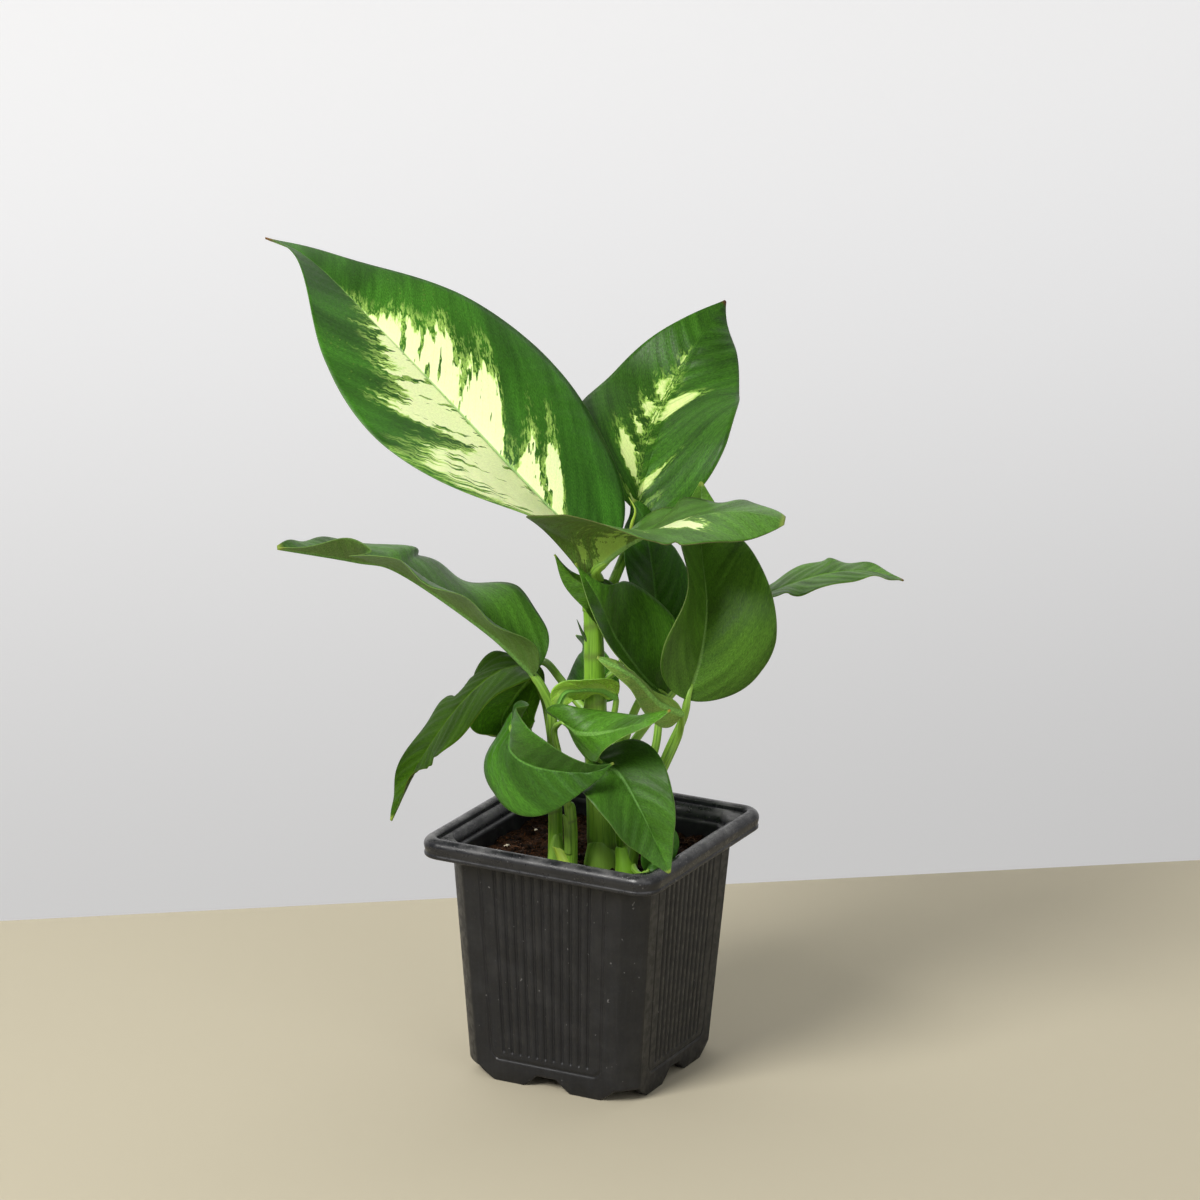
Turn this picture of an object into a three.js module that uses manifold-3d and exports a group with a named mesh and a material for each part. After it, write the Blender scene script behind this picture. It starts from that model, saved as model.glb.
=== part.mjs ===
// A potted dieffenbachia: a square nursery pot filled with peat, five short stems standing in
// plain holes in the peat, and eighteen leaves, each a waved blade grown together with its stalk.
// Millimetres, +Z up, with the pot's broad side facing -Y. The origin is on the plane of the feet,
// below the middle of the plant's spread; the pieces are placed from the middle of the pot.
import * as THREE from 'three';
import { mergeVertices } from 'three/addons/utils/BufferGeometryUtils.js';
import Module from 'manifold-3d';

const wasm = await Module();
wasm.setup();

// Pot, measured across flats. The body's sizes are those under the rim; it narrows to the feet.
const potHeight = 100;
const potMiddle = [30.9, -21];
const rimHalfWidth = 51;
const rimCornerRadius = 9.5;
const rimDepth = 7.6;
const rimEdgeRound = 1;
const rimOpeningHalf = 46.2;
const rimOpeningRadius = 6;
const rimWall = 1.3;
const skirtWall = 1.6;
const bodyHalfWidth = 43.6;
const bodyChamfer = 8.5;
const footScale = 0.864;
const potWall = 1.4;
const floorHeight = 5;
const floorThickness = 1.6;
const fluteCount = 11;
const flutePitch = 4.2;
const fluteWidth = 1.5;
const fluteDepth = 0.6;
const panelLineOffset = 27.5;
const fluteBottom = 12.5;
const footTop = [5.5, 34.4];
const footSole = [12, 27];
const footThickness = 4;
const footSink = 0.8;
const rimShelf = 0.8;
const drainRadius = 4;
const drainOffset = 22;

// Peat, and the clearance that pieces keep where they touch.
const clearance = 0.3;
const soilLevel = 87;
const soilRelief = 0.8;
const soilMound = 1.6;
const moundSpread = 26;
const soilDivisions = 7;

// Stems and leaves.
const ringHeight = 0.05;
const bladeThickness = 0.7;
const ribDepth = 0.9;
const tipEnd = 0.985;
const narrowest = 0.5;
const ribColumn = 0.07;
const rowCrowding = 1.35;
const lobeReach = 0.35;
const stalkSides = 6;
const stalkOverlap = 0.06;

const potPlastic = { color: '#2b2a2c', roughness: 0.62, metalness: 0 };
const peat = { color: '#3a2519', roughness: 0.95, metalness: 0 };
const stemGreen = { color: '#6f9b3a', roughness: 0.5, metalness: 0 };
const leafGreen = { color: '#2f6b2c', roughness: 0.45, metalness: 0 };
const youngGreen = { color: '#5d9440', roughness: 0.45, metalness: 0 };

// Solids: geometry to manifold and back.

function solidOf(geometry) {
  const bare = geometry.index ? geometry.clone() : geometry;
  bare.deleteAttribute('normal');
  bare.deleteAttribute('uv');
  const merged = mergeVertices(bare, 1e-4);
  return new wasm.Manifold(new wasm.Mesh({
    numProp: 3,
    vertProperties: new Float32Array(merged.attributes.position.array),
    triVerts: new Uint32Array(merged.index.array),
  }));
}

function geometryOf(solid) {
  const mesh = solid.getMesh();
  const geometry = new THREE.BufferGeometry();
  geometry.setAttribute('position', new THREE.BufferAttribute(new Float32Array(mesh.vertProperties), 3));
  geometry.setIndex(new THREE.BufferAttribute(new Uint32Array(mesh.triVerts), 1));
  geometry.computeVertexNormals();
  return geometry;
}

// The biggest of the pieces that a cut leaves, without loose scraps and pinched-off hollows.
function largestPiece(solid) {
  const pieces = solidOf(geometryOf(solid)).decompose();
  pieces.sort((a, b) => b.volume() - a.volume());
  return pieces[0];
}

function addMesh(group, name, solid, look) {
  const mesh = new THREE.Mesh(geometryOf(solid), new THREE.MeshStandardMaterial({ ...look }));
  mesh.name = name;
  group.add(mesh);
}

// Square outlines for the pot, extruded upward from one height to another.

function chamferedSquare(half, leg) {
  const shape = new THREE.Shape();
  const flat = half - leg;
  shape.moveTo(flat, -half);
  for (let quarter = 0; quarter < 4; quarter += 1) {
    const cos = Math.round(Math.cos(quarter * Math.PI / 2));
    const sin = Math.round(Math.sin(quarter * Math.PI / 2));
    shape.lineTo(cos * half + sin * flat, sin * half - cos * flat);
    shape.lineTo(cos * half - sin * flat, sin * half + cos * flat);
  }
  return shape;
}

function roundedSquare(half, radius) {
  const shape = new THREE.Shape();
  const flat = half - radius;
  shape.moveTo(half, -flat);
  shape.absarc(flat, flat, radius, 0, Math.PI / 2, false);
  shape.absarc(-flat, flat, radius, Math.PI / 2, Math.PI, false);
  shape.absarc(-flat, -flat, radius, Math.PI, 1.5 * Math.PI, false);
  shape.absarc(flat, -flat, radius, 1.5 * Math.PI, 2 * Math.PI, false);
  return shape;
}

function prism(shape, low, high, round = 0) {
  const geometry = new THREE.ExtrudeGeometry(shape, {
    depth: high - low - 2 * round,
    bevelEnabled: round > 0,
    bevelThickness: round,
    bevelSize: round,
    bevelOffset: -round,
    bevelSegments: 2,
    curveSegments: 5,
  });
  geometry.translate(0, 0, low + round);
  return solidOf(geometry);
}

// The pot's body narrows evenly from the rim down.
function narrow(geometry) {
  const position = geometry.attributes.position;
  const rimFoot = potHeight - rimDepth;
  for (let i = 0; i < position.count; i += 1) {
    const down = (rimFoot - position.getZ(i)) / (rimFoot - floorHeight);
    const scale = 1 - (1 - footScale) * Math.max(0, down);
    position.setXY(i, position.getX(i) * scale, position.getY(i) * scale);
  }
  return geometry;
}

function makeRim() {
  const bottom = potHeight - rimDepth;
  const shelf = bottom - rimShelf;
  const innerHalf = rimOpeningHalf + rimWall;
  const skirtHalf = rimHalfWidth - skirtWall;
  const lip = prism(roundedSquare(rimHalfWidth, rimCornerRadius), bottom, potHeight, rimEdgeRound);
  const innerWall = prism(roundedSquare(innerHalf, rimOpeningRadius + rimWall), shelf, potHeight - 1);
  const hollow = prism(roundedSquare(skirtHalf, rimCornerRadius - skirtWall), bottom - 1, potHeight - 2);
  const opening = prism(roundedSquare(rimOpeningHalf, rimOpeningRadius), shelf + rimWall, potHeight + 1);
  const throat = prism(chamferedSquare(bodyHalfWidth - potWall, bodyChamfer), shelf - 1, potHeight);
  return lip.subtract(hollow).add(innerWall).subtract(opening).subtract(throat);
}

function fluteAt(offset, width, low) {
  const top = potHeight - rimDepth - 1.5;
  const slot = new THREE.Shape();
  slot.moveTo(-width / 2, -0.5);
  slot.lineTo(width / 2, -0.5);
  slot.lineTo(0.25 * width, fluteDepth);
  slot.lineTo(-0.25 * width, fluteDepth);
  const geometry = new THREE.ExtrudeGeometry(slot, { depth: top - low, bevelEnabled: false });
  geometry.translate(offset, -bodyHalfWidth, low);
  return geometry;
}

function footAt(side) {
  const outline = new THREE.Shape();
  outline.moveTo(side * footTop[0], floorHeight + footSink);
  outline.lineTo(side * footTop[0], floorHeight);
  outline.lineTo(side * footSole[0], 0);
  outline.lineTo(side * footSole[1], 0);
  outline.lineTo(side * footTop[1], floorHeight);
  outline.lineTo(side * footTop[1], floorHeight + footSink);
  const geometry = new THREE.ExtrudeGeometry(outline, { depth: footThickness, bevelEnabled: false });
  geometry.rotateX(Math.PI / 2);
  geometry.translate(0, footThickness - bodyHalfWidth, 0);
  return geometry;
}

function makePot() {
  const rimFoot = potHeight - rimDepth;
  let body = prism(chamferedSquare(bodyHalfWidth, bodyChamfer), floorHeight, rimFoot);
  const inside = prism(
    chamferedSquare(bodyHalfWidth - potWall, bodyChamfer),
    floorHeight + floorThickness,
    potHeight,
  );
  body = body.subtract(inside);
  for (let side = 0; side < 4; side += 1) {
    const turn = side * Math.PI / 2;
    for (const foot of [-1, 1]) {
      body = body.add(solidOf(footAt(foot).rotateZ(turn)));
    }
    for (let i = 0; i < fluteCount; i += 1) {
      const offset = (i - (fluteCount - 1) / 2) * flutePitch;
      body = body.subtract(solidOf(fluteAt(offset, fluteWidth, fluteBottom).rotateZ(turn)));
    }
    for (const edge of [-panelLineOffset, panelLineOffset]) {
      body = body.subtract(solidOf(fluteAt(edge, fluteWidth * 0.8, fluteBottom - 2).rotateZ(turn)));
    }
    const drain = new THREE.CylinderGeometry(drainRadius, drainRadius, 3 * floorThickness, 10);
    drain.rotateX(Math.PI / 2);
    drain.translate(drainOffset, 0, floorHeight + floorThickness / 2);
    body = body.subtract(solidOf(drain.rotateZ(turn + Math.PI / 4)));
  }
  return solidOf(narrow(geometryOf(body))).add(makeRim());
}

// Peat: a block that fills the pot, with a crumbled top. The relief is a sum of waves, a little
// higher round the stems.
function soilHeight(x, y) {
  const broad = Math.sin(0.31 * x + 1.2) * Math.cos(0.27 * y - 0.6);
  const lumps = broad + 0.6 * Math.sin(0.73 * x - 0.58 * y);
  const mound = soilMound * Math.exp(-(x * x + y * y) / moundSpread ** 2);
  return soilLevel + soilRelief * lumps + mound;
}

function makeSoil(stems) {
  const half = bodyHalfWidth;
  const low = floorHeight + floorThickness + clearance;
  const block = new THREE.BoxGeometry(2 * half, 2 * half, 1, soilDivisions, soilDivisions, 1);
  const position = block.attributes.position;
  for (let i = 0; i < position.count; i += 1) {
    const top = position.getZ(i) > 0;
    position.setZ(i, top ? soilHeight(position.getX(i), position.getY(i)) : low);
  }
  const fit = bodyHalfWidth - potWall - clearance / footScale;
  const outline = prism(chamferedSquare(fit, bodyChamfer), low - 1, potHeight - rimDepth);
  let soil = solidOf(narrow(geometryOf(outline))).intersect(solidOf(block));
  for (const stem of stems) {
    soil = soil.subtract(stem);
  }
  return soil;
}

function smoothCurve(points) {
  return new THREE.CatmullRomCurve3(points.map((p) => new THREE.Vector3(...p)), false, 'catmullrom', 0.5);
}

// Tubes: a cylinder bent along a smooth curve, its radius eased from root to end, with low rings
// where old leaves were attached. A hole for it is the same tube, larger all round by extra.
function bentTube({ path, radius, sides = 10, steps = 12, rings = 0, extra = 0 }) {
  const curve = smoothCurve(path);
  const geometry = new THREE.CylinderGeometry(1, 1, 1, sides, steps);
  const position = geometry.attributes.position;
  const frames = curve.computeFrenetFrames(steps, false);
  const centres = curve.getSpacedPoints(steps);
  centres[0].addScaledVector(curve.getTangentAt(0), -extra);
  centres[steps].addScaledVector(curve.getTangentAt(1), extra);
  const point = new THREE.Vector3();
  for (let i = 0; i < position.count; i += 1) {
    const along = position.getY(i) + 0.5;
    const step = Math.round(along * steps);
    const ring = rings ? ringHeight * Math.cos(2 * Math.PI * rings * along) : 0;
    const size = (radius[0] + (radius[1] - radius[0]) * along) * (1 + ring) + extra;
    point.copy(centres[step]);
    point.addScaledVector(frames.normals[step], position.getX(i) * size);
    point.addScaledVector(frames.binormals[step], -position.getZ(i) * size);
    position.setXYZ(i, point.x, point.y, point.z);
  }
  return solidOf(geometry);
}

// Each stem's path starts 20 mm down in the peat.
const stems = {
  cane_main: {
    path: [
      [9, -9, 67], [9, -9, 87], [8, -10, 113], [6, -10, 138],
      [5, -10, 162], [4, -10, 186], [3, -11, 197],
    ],
    radius: [6.6, 3.6], steps: 15, rings: 5,
  },
  stem_left: {
    path: [[-6, -20, 67], [-6, -20, 88], [-7, -19, 109], [-8, -19, 122]],
    radius: [3.4, 2.7], steps: 8, rings: 2,
  },
  stem_front: {
    path: [[3, -24, 67], [3, -24, 88], [3, -24, 104], [2, -24, 116]],
    radius: [2.8, 2.2], steps: 8, rings: 2,
  },
  stem_right: {
    path: [[23, -15, 67], [23, -15, 87], [24, -12, 102], [25, -10, 114]],
    radius: [4.2, 3.2], steps: 8, rings: 2,
  },
  stem_back: {
    path: [[8, 9, 67], [8, 9, 87], [7, 9, 116], [7, 9, 134]],
    radius: [4, 3], steps: 10, rings: 3,
  },
};

// Leaves. rib runs along the blade from stalk to tip, and face is the way that its upper side
// looks, as azimuth and elevation in degrees. width is the widest full width, at the fraction
// widest of the length. roll, lift and curl are in degrees at the base, the middle and the tip:
// roll turns the blade about its rib, lift raises a half from the rib and curl bends it further
// on its way to the edge. lobe draws the base corners back past the stalk, and wave gives the
// edge's amplitude in mm, its number of waves, and the phase of the left and right edges.
// stalk runs from the stem, inside which it ends, to the blade. notchedBy names a leaf whose stalk
// rises through a notch in this blade's edge.
const leaves = {
  leaf_top_left: {
    on: 'cane_main', stalk: [[3, -11, 190], [2, -10, 199], [-1, -7, 207]], stalkRadius: [3, 1.9],
    rib: [[-4, -2, 213], [-34, -3, 238], [-62, -1, 260], [-93, 1, 284], [-132, 8, 309], [-155, 7, 317]],
    face: [14, 59], width: 91, widest: 0.38, basePower: 2.8, tipPower: 1.28, lobe: 9,
    roll: [-16, -2, -36], liftLeft: [50, 21, 30], liftRight: [23, 18, -4],
    curlLeft: [14, -6, -18], curlRight: [-45, -36, 16], wave: [0.6, 3, 0, 90], rows: 15,
  },
  leaf_top_right: {
    on: 'cane_main', stalk: [[4, -10, 182], [4, -2, 190], [4, 10, 200], [4, 21, 211]],
    stalkRadius: [2.4, 1.6],
    rib: [[-1, 36, 218], [-1, 52, 242], [-2, 74, 259], [1, 91, 277], [1, 110, 289]],
    face: [25, 27], width: 68, widest: 0.29, basePower: 1.5, tipPower: 1.18, lobe: 0,
    roll: [-10, 13, -23], liftLeft: [48, 6, 13], liftRight: [25, 23, -28],
    curlLeft: [-1, -12, -12], curlRight: [-12, -10, -8], wave: [0.5, 3, 40, 0], rows: 12,
  },
  leaf_front_arching: {
    on: 'cane_main', stalk: [[4, -10, 188], [5, -10, 195], [7, -11, 202]], stalkRadius: [2.8, 1.9],
    rib: [[9, -18, 209], [27, -21, 224], [49, -17, 235], [67, -12, 239], [84, -5, 236]],
    face: [71, 43], width: 84, widest: 0.25, basePower: 2.9, tipPower: 0.8, lobe: 6,
    roll: [36, 25, 6], liftLeft: [-1, -27, -10], liftRight: [94, 24, 0],
    curlLeft: [-14, 13, -40], curlRight: [0, 1, -21], wave: [1, 3, 0, 60], rows: 13,
  },
  leaf_left_wavy: {
    on: 'stem_left',
    stalk: [[-8, -19, 114], [-8, -19, 126], [-9, -18, 137], [-10, -17, 149], [-13, -18, 157]],
    stalkRadius: [2.4, 1.8],
    rib: [[-17, -19, 163], [-35, -25, 180], [-68, -34, 201], [-86, -38, 204], [-105, -68, 214]],
    face: [-120, 70], width: 61, widest: 0.36, basePower: 2.3, tipPower: 0.95, lobe: 0,
    roll: [23, 8, 11], liftLeft: [44, 28, 26], liftRight: [59, 24, 52],
    curlLeft: [-20, -25, 0], curlRight: [21, -34, -4], wave: [2, 4, 0, 120], rows: 15,
  },
  leaf_left_drooping: {
    on: 'cane_main', stalk: [[5, -10, 146], [-4, -8, 152], [-13, -4, 158], [-22, 1, 162]],
    stalkRadius: [1.9, 1.5],
    rib: [[-31, 6, 159], [-37, -12, 159], [-47, -25, 147], [-61, -32, 123], [-63, -51, 104]],
    face: [-11, 9], width: 44, widest: 0.34, basePower: 2.3, tipPower: 1.18, lobe: 0,
    roll: [-20, -24, -9], liftLeft: [24, 22, 38], liftRight: [-8, -10, 17],
    curlLeft: [-17, -6, -6], curlRight: [-36, -27, 5], wave: [1.2, 4, 0, 90], rows: 12,
  },
  leaf_left_shaded: {
    on: 'stem_left', stalk: [[-8, -19, 114], [-13, -10, 128], [-20, -2, 143], [-24, 0, 151]],
    stalkRadius: [1.7, 1.3],
    rib: [[-30, 6, 154], [-38, 6, 144], [-42, 2, 134], [-33, -6, 128], [-29, -15, 122]],
    face: [33, 25], width: 34, widest: 0.39, basePower: 2.2, tipPower: 1.1, lobe: 2,
    roll: [-8, -2, 13], liftLeft: [23, 45, 13], liftRight: [12, 36, 42],
    curlLeft: [-8, -6, -7], curlRight: [-15, -10, -2], wave: [0.4, 3, 0, 0], rows: 8,
  },
  leaf_front_cupped: {
    on: 'stem_left', stalk: [[-7, -19, 112], [-9, -23, 124], [-12, -29, 133], [-16, -34, 141]],
    stalkRadius: [1.7, 1.4],
    rib: [[-17, -37, 147], [-11, -48, 141], [3, -52, 138], [25, -53, 140], [34, -48, 144]],
    face: [2, 10], width: 43, widest: 0.31, basePower: 2, tipPower: 1.52, lobe: 9,
    roll: [-8, -4, -14], liftLeft: [34, 40, 27], liftRight: [-15, 4, 5],
    curlLeft: [-29, -22, 3], curlRight: [-20, -8, -10], wave: [0.4, 3, 0, 0], rows: 10,
  },
  leaf_front_drooping: {
    on: 'stem_right', stalk: [[24, -12, 100], [22, -17, 112], [18, -21, 124], [16, -26, 134]],
    stalkRadius: [1.8, 1.3],
    rib: [[17, -30, 137], [30, -37, 135], [41, -41, 124], [48, -41, 112], [56, -44, 101]],
    face: [-8, 41], width: 34, widest: 0.35, basePower: 2.2, tipPower: 1, lobe: 4,
    roll: [1, 7, -2], liftLeft: [-9, 22, 18], liftRight: [-6, 39, 14],
    curlLeft: [-15, -10, -8], curlRight: [-22, -3, -4], wave: [0.5, 3, 0, 90], rows: 10,
  },
  leaf_front_small: {
    on: 'stem_front', stalk: [[2, -24, 108], [1, -26, 122], [-1, -28, 136], [-2, -30, 146]],
    stalkRadius: [1.6, 1.2],
    rib: [[3, -34, 151], [12, -37, 149], [25, -39, 152], [43, -45, 160], [55, -43, 167]],
    face: [3, 18], width: 22, widest: 0.33, basePower: 2.3, tipPower: 1.08, lobe: 9,
    roll: [-45, 22, 17], liftLeft: [-5, -24, -6], liftRight: [-50, 17, 17],
    curlLeft: [-26, -18, -10], curlRight: [-45, 10, -10], wave: [0.3, 3, 0, 0], rows: 9,
  },
  leaf_young_curled: {
    on: 'cane_main', stalk: [[7, -10, 136], [10, -9, 142], [13, -9, 149]], stalkRadius: [1.5, 1.2],
    rib: [[14, -9, 156], [10, -15, 160], [4, -22, 161], [0, -26, 160], [-3, -27, 152]],
    face: [-157, 13], width: 17, widest: 0.46, basePower: 2.2, tipPower: 0.95, lobe: 0,
    roll: [-1, 16, 0], liftLeft: [23, -5, 6], liftRight: [22, 19, 6],
    curlLeft: [-10, -19, -10], curlRight: [-15, -8, -8], wave: [0.3, 2, 0, 0], rows: 8, young: true,
  },
  leaf_right_upright: {
    on: 'stem_right', stalk: [[25, -10, 104], [29, -6, 120], [34, -3, 136], [39, -1, 149]],
    stalkRadius: [2, 1.6],
    rib: [[41, -1, 158], [43, 5, 173], [41, 14, 191], [32, 27, 211], [25, 40, 234]],
    face: [44, 10], width: 56, widest: 0.3, basePower: 1.6, tipPower: 1.15, lobe: 1,
    roll: [-9, 0, 1], liftLeft: [16, 40, 5], liftRight: [-4, 39, 6],
    curlLeft: [-45, 34, -9], curlRight: [-14, 1, -10], wave: [0.6, 3, 0, 90], rows: 12,
  },
  leaf_centre_dark: {
    on: 'cane_main', stalk: [[5, -10, 160], [11, -6, 165], [13, 0, 171]], stalkRadius: [1.6, 1.2],
    notchedBy: 'leaf_front_arching',
    rib: [[13, 4, 177], [11, -5, 188], [11, -18, 199], [1, -22, 206], [-7, -23, 215]],
    face: [39, 18], width: 17, widest: 0.47, basePower: 2, tipPower: 1.15, lobe: 0,
    roll: [2, -3, -20], liftLeft: [25, -7, 1], liftRight: [28, -23, -50],
    curlLeft: [-10, -16, -12], curlRight: [-9, -7, -24], wave: [0.3, 2, 0, 0], rows: 8,
  },
  leaf_centre_folded: {
    on: 'stem_right', stalk: [[25, -10, 110], [25, -5, 122], [27, 0, 136], [27, 3, 147]],
    stalkRadius: [1.9, 1.5],
    rib: [[27, 8, 154], [22, -1, 163], [14, -11, 181], [14, -25, 199], [5, -29, 215]],
    face: [36, 36], width: 49, widest: 0.4, basePower: 2.3, tipPower: 1.8, lobe: 0,
    roll: [-2, -15, -15], liftLeft: [59, 24, 17], liftRight: [47, 8, -4],
    curlLeft: [-4, 45, -27], curlRight: [-4, -6, -13], wave: [0.5, 3, 0, 90], rows: 11,
  },
  leaf_young_right: {
    on: 'stem_right', stalk: [[24, -12, 100], [30, -12, 116], [36, -9, 132], [40, -6, 144]],
    stalkRadius: [1.6, 1.2],
    rib: [[46, -16, 156], [41, -27, 163], [37, -37, 174], [33, -44, 180], [25, -49, 185]],
    face: [-141, -36], width: 18, widest: 0.34, basePower: 2.2, tipPower: 0.95, lobe: 0,
    roll: [5, -21, -3], liftLeft: [15, 35, 4], liftRight: [23, 8, -1],
    curlLeft: [-13, -5, -8], curlRight: [-11, -14, -9], wave: [0.3, 2, 0, 0], rows: 8, young: true,
  },
  leaf_back_upright: {
    on: 'stem_back', stalk: [[7, 9, 126], [11, 13, 144], [17, 17, 158]], stalkRadius: [1.9, 1.5],
    rib: [[17, 23, 166], [15, 22, 188], [12, 22, 207], [6, 27, 219], [1, 27, 226]],
    face: [42, 13], width: 34, widest: 0.41, basePower: 2.2, tipPower: 0.95, lobe: 0,
    roll: [2, -18, 0], liftLeft: [27, 23, -25], liftRight: [31, -1, -24],
    curlLeft: [-10, 1, -15], curlRight: [-8, -11, -17], wave: [0.4, 3, 0, 0], rows: 9,
  },
  leaf_far_right: {
    on: 'stem_back', stalk: [[7, 9, 124], [12, 24, 137], [22, 40, 155], [32, 50, 172]],
    stalkRadius: [1.9, 1.4],
    rib: [[39, 55, 181], [52, 65, 188], [68, 70, 194], [80, 80, 194], [91, 91, 189]],
    face: [-20, 49], width: 30, widest: 0.39, basePower: 2.1, tipPower: 0.97, lobe: 0,
    roll: [19, 13, 11], liftLeft: [1, -4, 2], liftRight: [27, 17, 18],
    curlLeft: [-21, -8, -14], curlRight: [-17, -12, -3], wave: [0.8, 4, 0, 90], rows: 10,
  },
  leaf_back_small: {
    on: 'stem_back', stalk: [[7, 9, 118], [2, 10, 128], [-3, 10, 138]], stalkRadius: [1.5, 1.2],
    rib: [[-5, 9, 146], [-5, 9, 156], [-10, 12, 167], [-16, 14, 171]],
    face: [22, -30], width: 24, widest: 0.39, basePower: 2.2, tipPower: 1.01, lobe: 0,
    roll: [-4, 12, 8], liftLeft: [27, 1, -5], liftRight: [21, 19, 8],
    curlLeft: [-9, -14, -12], curlRight: [-11, -9, -9], wave: [0.3, 2, 0, 0], rows: 7,
  },
  leaf_basal: {
    on: 'stem_right', stalk: [[24, -14, 92], [28, -18, 90], [32, -21, 90]], stalkRadius: [1.4, 1.1],
    rib: [[35, -22, 92], [38, -19, 99], [40, -16, 105], [37, -15, 111]],
    face: [31, 8], width: 13, widest: 0.45, basePower: 2.2, tipPower: 1.01, lobe: 0,
    roll: [0, -2, 0], liftLeft: [20, 15, 10], liftRight: [20, 12, 10],
    curlLeft: [-12, -12, -8], curlRight: [-12, -14, -8], wave: [0.2, 2, 0, 0], rows: 6,
  },
};

const radians = THREE.MathUtils.degToRad;

// The smooth value at t of three values given at the base, the middle and the tip.
function through([base, middle, tip], t) {
  return base * (1 - t) * (1 - 2 * t) + 4 * middle * t * (1 - t) + tip * t * (2 * t - 1);
}

// Half width of a blade at t, as a share of its greatest: round at the base, drawn out to a tip.
function outline(leaf, t) {
  if (t < leaf.widest) {
    return Math.sqrt(1 - ((leaf.widest - t) / leaf.widest) ** leaf.basePower);
  }
  return Math.cos(0.5 * Math.PI * (t - leaf.widest) / (1 - leaf.widest)) ** leaf.tipPower;
}

function faceVector([azimuth, elevation]) {
  const a = radians(azimuth);
  const e = radians(elevation);
  return new THREE.Vector3(Math.sin(a) * Math.cos(e), -Math.cos(a) * Math.cos(e), Math.sin(e));
}

// A point of the blade's middle surface: t runs from stalk to tip and u from the left edge, -1,
// to the right edge, 1.
function bladePoint(leaf, curve, t, u) {
  const along = curve.getTangentAt(t);
  const face = faceVector(leaf.face);
  const up = face.addScaledVector(along, -face.dot(along)).normalize();
  const right = new THREE.Vector3().crossVectors(along, up);
  const roll = radians(through(leaf.roll, t));
  const upRolled = up.clone().multiplyScalar(Math.cos(roll)).addScaledVector(right, -Math.sin(roll));
  const rightRolled = right.multiplyScalar(Math.cos(roll)).addScaledVector(up, Math.sin(roll));
  const half = leaf.width / 2;
  const share = Math.abs(u);
  const distance = share * Math.max(half * outline(leaf, t), narrowest);
  const lift = radians(through(u < 0 ? leaf.liftLeft : leaf.liftRight, t));
  const bend = radians(through(u < 0 ? leaf.curlLeft : leaf.curlRight, t)) * distance / half;
  const turn = Math.abs(bend) < 1e-4 ? 1e-4 : bend;
  const across = distance * (Math.sin(lift + turn) - Math.sin(lift)) / turn;
  const [amplitude, count, phaseLeft, phaseRight] = leaf.wave;
  const phase = radians(u < 0 ? phaseLeft : phaseRight);
  const ripple = amplitude * Math.sin(2 * Math.PI * count * t + phase) * share ** 2
    * Math.min(1, 6 * t * (1 - t));
  const rise = distance * (Math.cos(lift) - Math.cos(lift + turn)) / turn + ripple;
  const back = leaf.lobe * share ** 2 * Math.max(0, 1 - t / lobeReach) ** 2;
  return curve.getPointAt(t)
    .addScaledVector(rightRolled, Math.sign(u) * across)
    .addScaledVector(upRolled, rise)
    .addScaledVector(along, -back);
}

function bladeColumns(leaf) {
  const shares = leaf.width > 40 ? [0.36, 0.7, 1] : [0.55, 1];
  return [...shares.map((s) => -s).reverse(), -ribColumn, 0, ribColumn, ...shares];
}

// The blade as a thin closed sheet: a grid of points above and below the middle surface, both
// split along the same diagonals, and a narrow wall round the edge. The rib stands out below.
function makeBlade(leaf) {
  const curve = smoothCurve(leaf.rib);
  const columns = bladeColumns(leaf);
  const across = columns.length;
  const { rows } = leaf;
  const positions = [];
  const small = 0.004;
  for (const side of [1, -1]) {
    for (let row = 0; row <= rows; row += 1) {
      const t = tipEnd * (row / rows) ** rowCrowding;
      for (const u of columns) {
        const point = bladePoint(leaf, curve, t, u);
        const v = u === 0 ? small : u;
        const alongT = bladePoint(leaf, curve, Math.min(t + small, 0.999), v)
          .sub(bladePoint(leaf, curve, Math.max(t - small, 0), v));
        const alongU = bladePoint(leaf, curve, t, v + small).sub(bladePoint(leaf, curve, t, v - small));
        const normal = alongU.cross(alongT).normalize();
        const ribShare = Math.max(0, 1 - Math.abs(u) / (1.5 * ribColumn)) * (1 - t);
        const depth = side > 0 ? bladeThickness / 2 : -bladeThickness / 2 - ribDepth * ribShare;
        point.addScaledVector(normal, depth);
        positions.push(point.x, point.y, point.z);
      }
    }
  }
  const faces = [];
  const under = (rows + 1) * across;
  const quad = (a, b, c, d) => faces.push(a, b, c, a, c, d);
  for (let row = 0; row < rows; row += 1) {
    for (let i = 0; i < across - 1; i += 1) {
      const a = row * across + i;
      const b = a + 1;
      const c = b + across;
      const d = a + across;
      quad(a, b, c, d);
      faces.push(under + a, under + c, under + b, under + a, under + d, under + c);
    }
    const left = row * across;
    const right = left + across - 1;
    quad(left, left + across, under + left + across, under + left);
    quad(right, under + right, under + right + across, right + across);
  }
  for (let i = 0; i < across - 1; i += 1) {
    quad(i, under + i, under + i + 1, i + 1);
    const last = rows * across + i;
    quad(last, last + 1, under + last + 1, under + last);
  }
  const geometry = new THREE.BufferGeometry();
  geometry.setAttribute('position', new THREE.Float32BufferAttribute(positions, 3));
  geometry.setIndex(faces);
  return solidOf(geometry);
}

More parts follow.
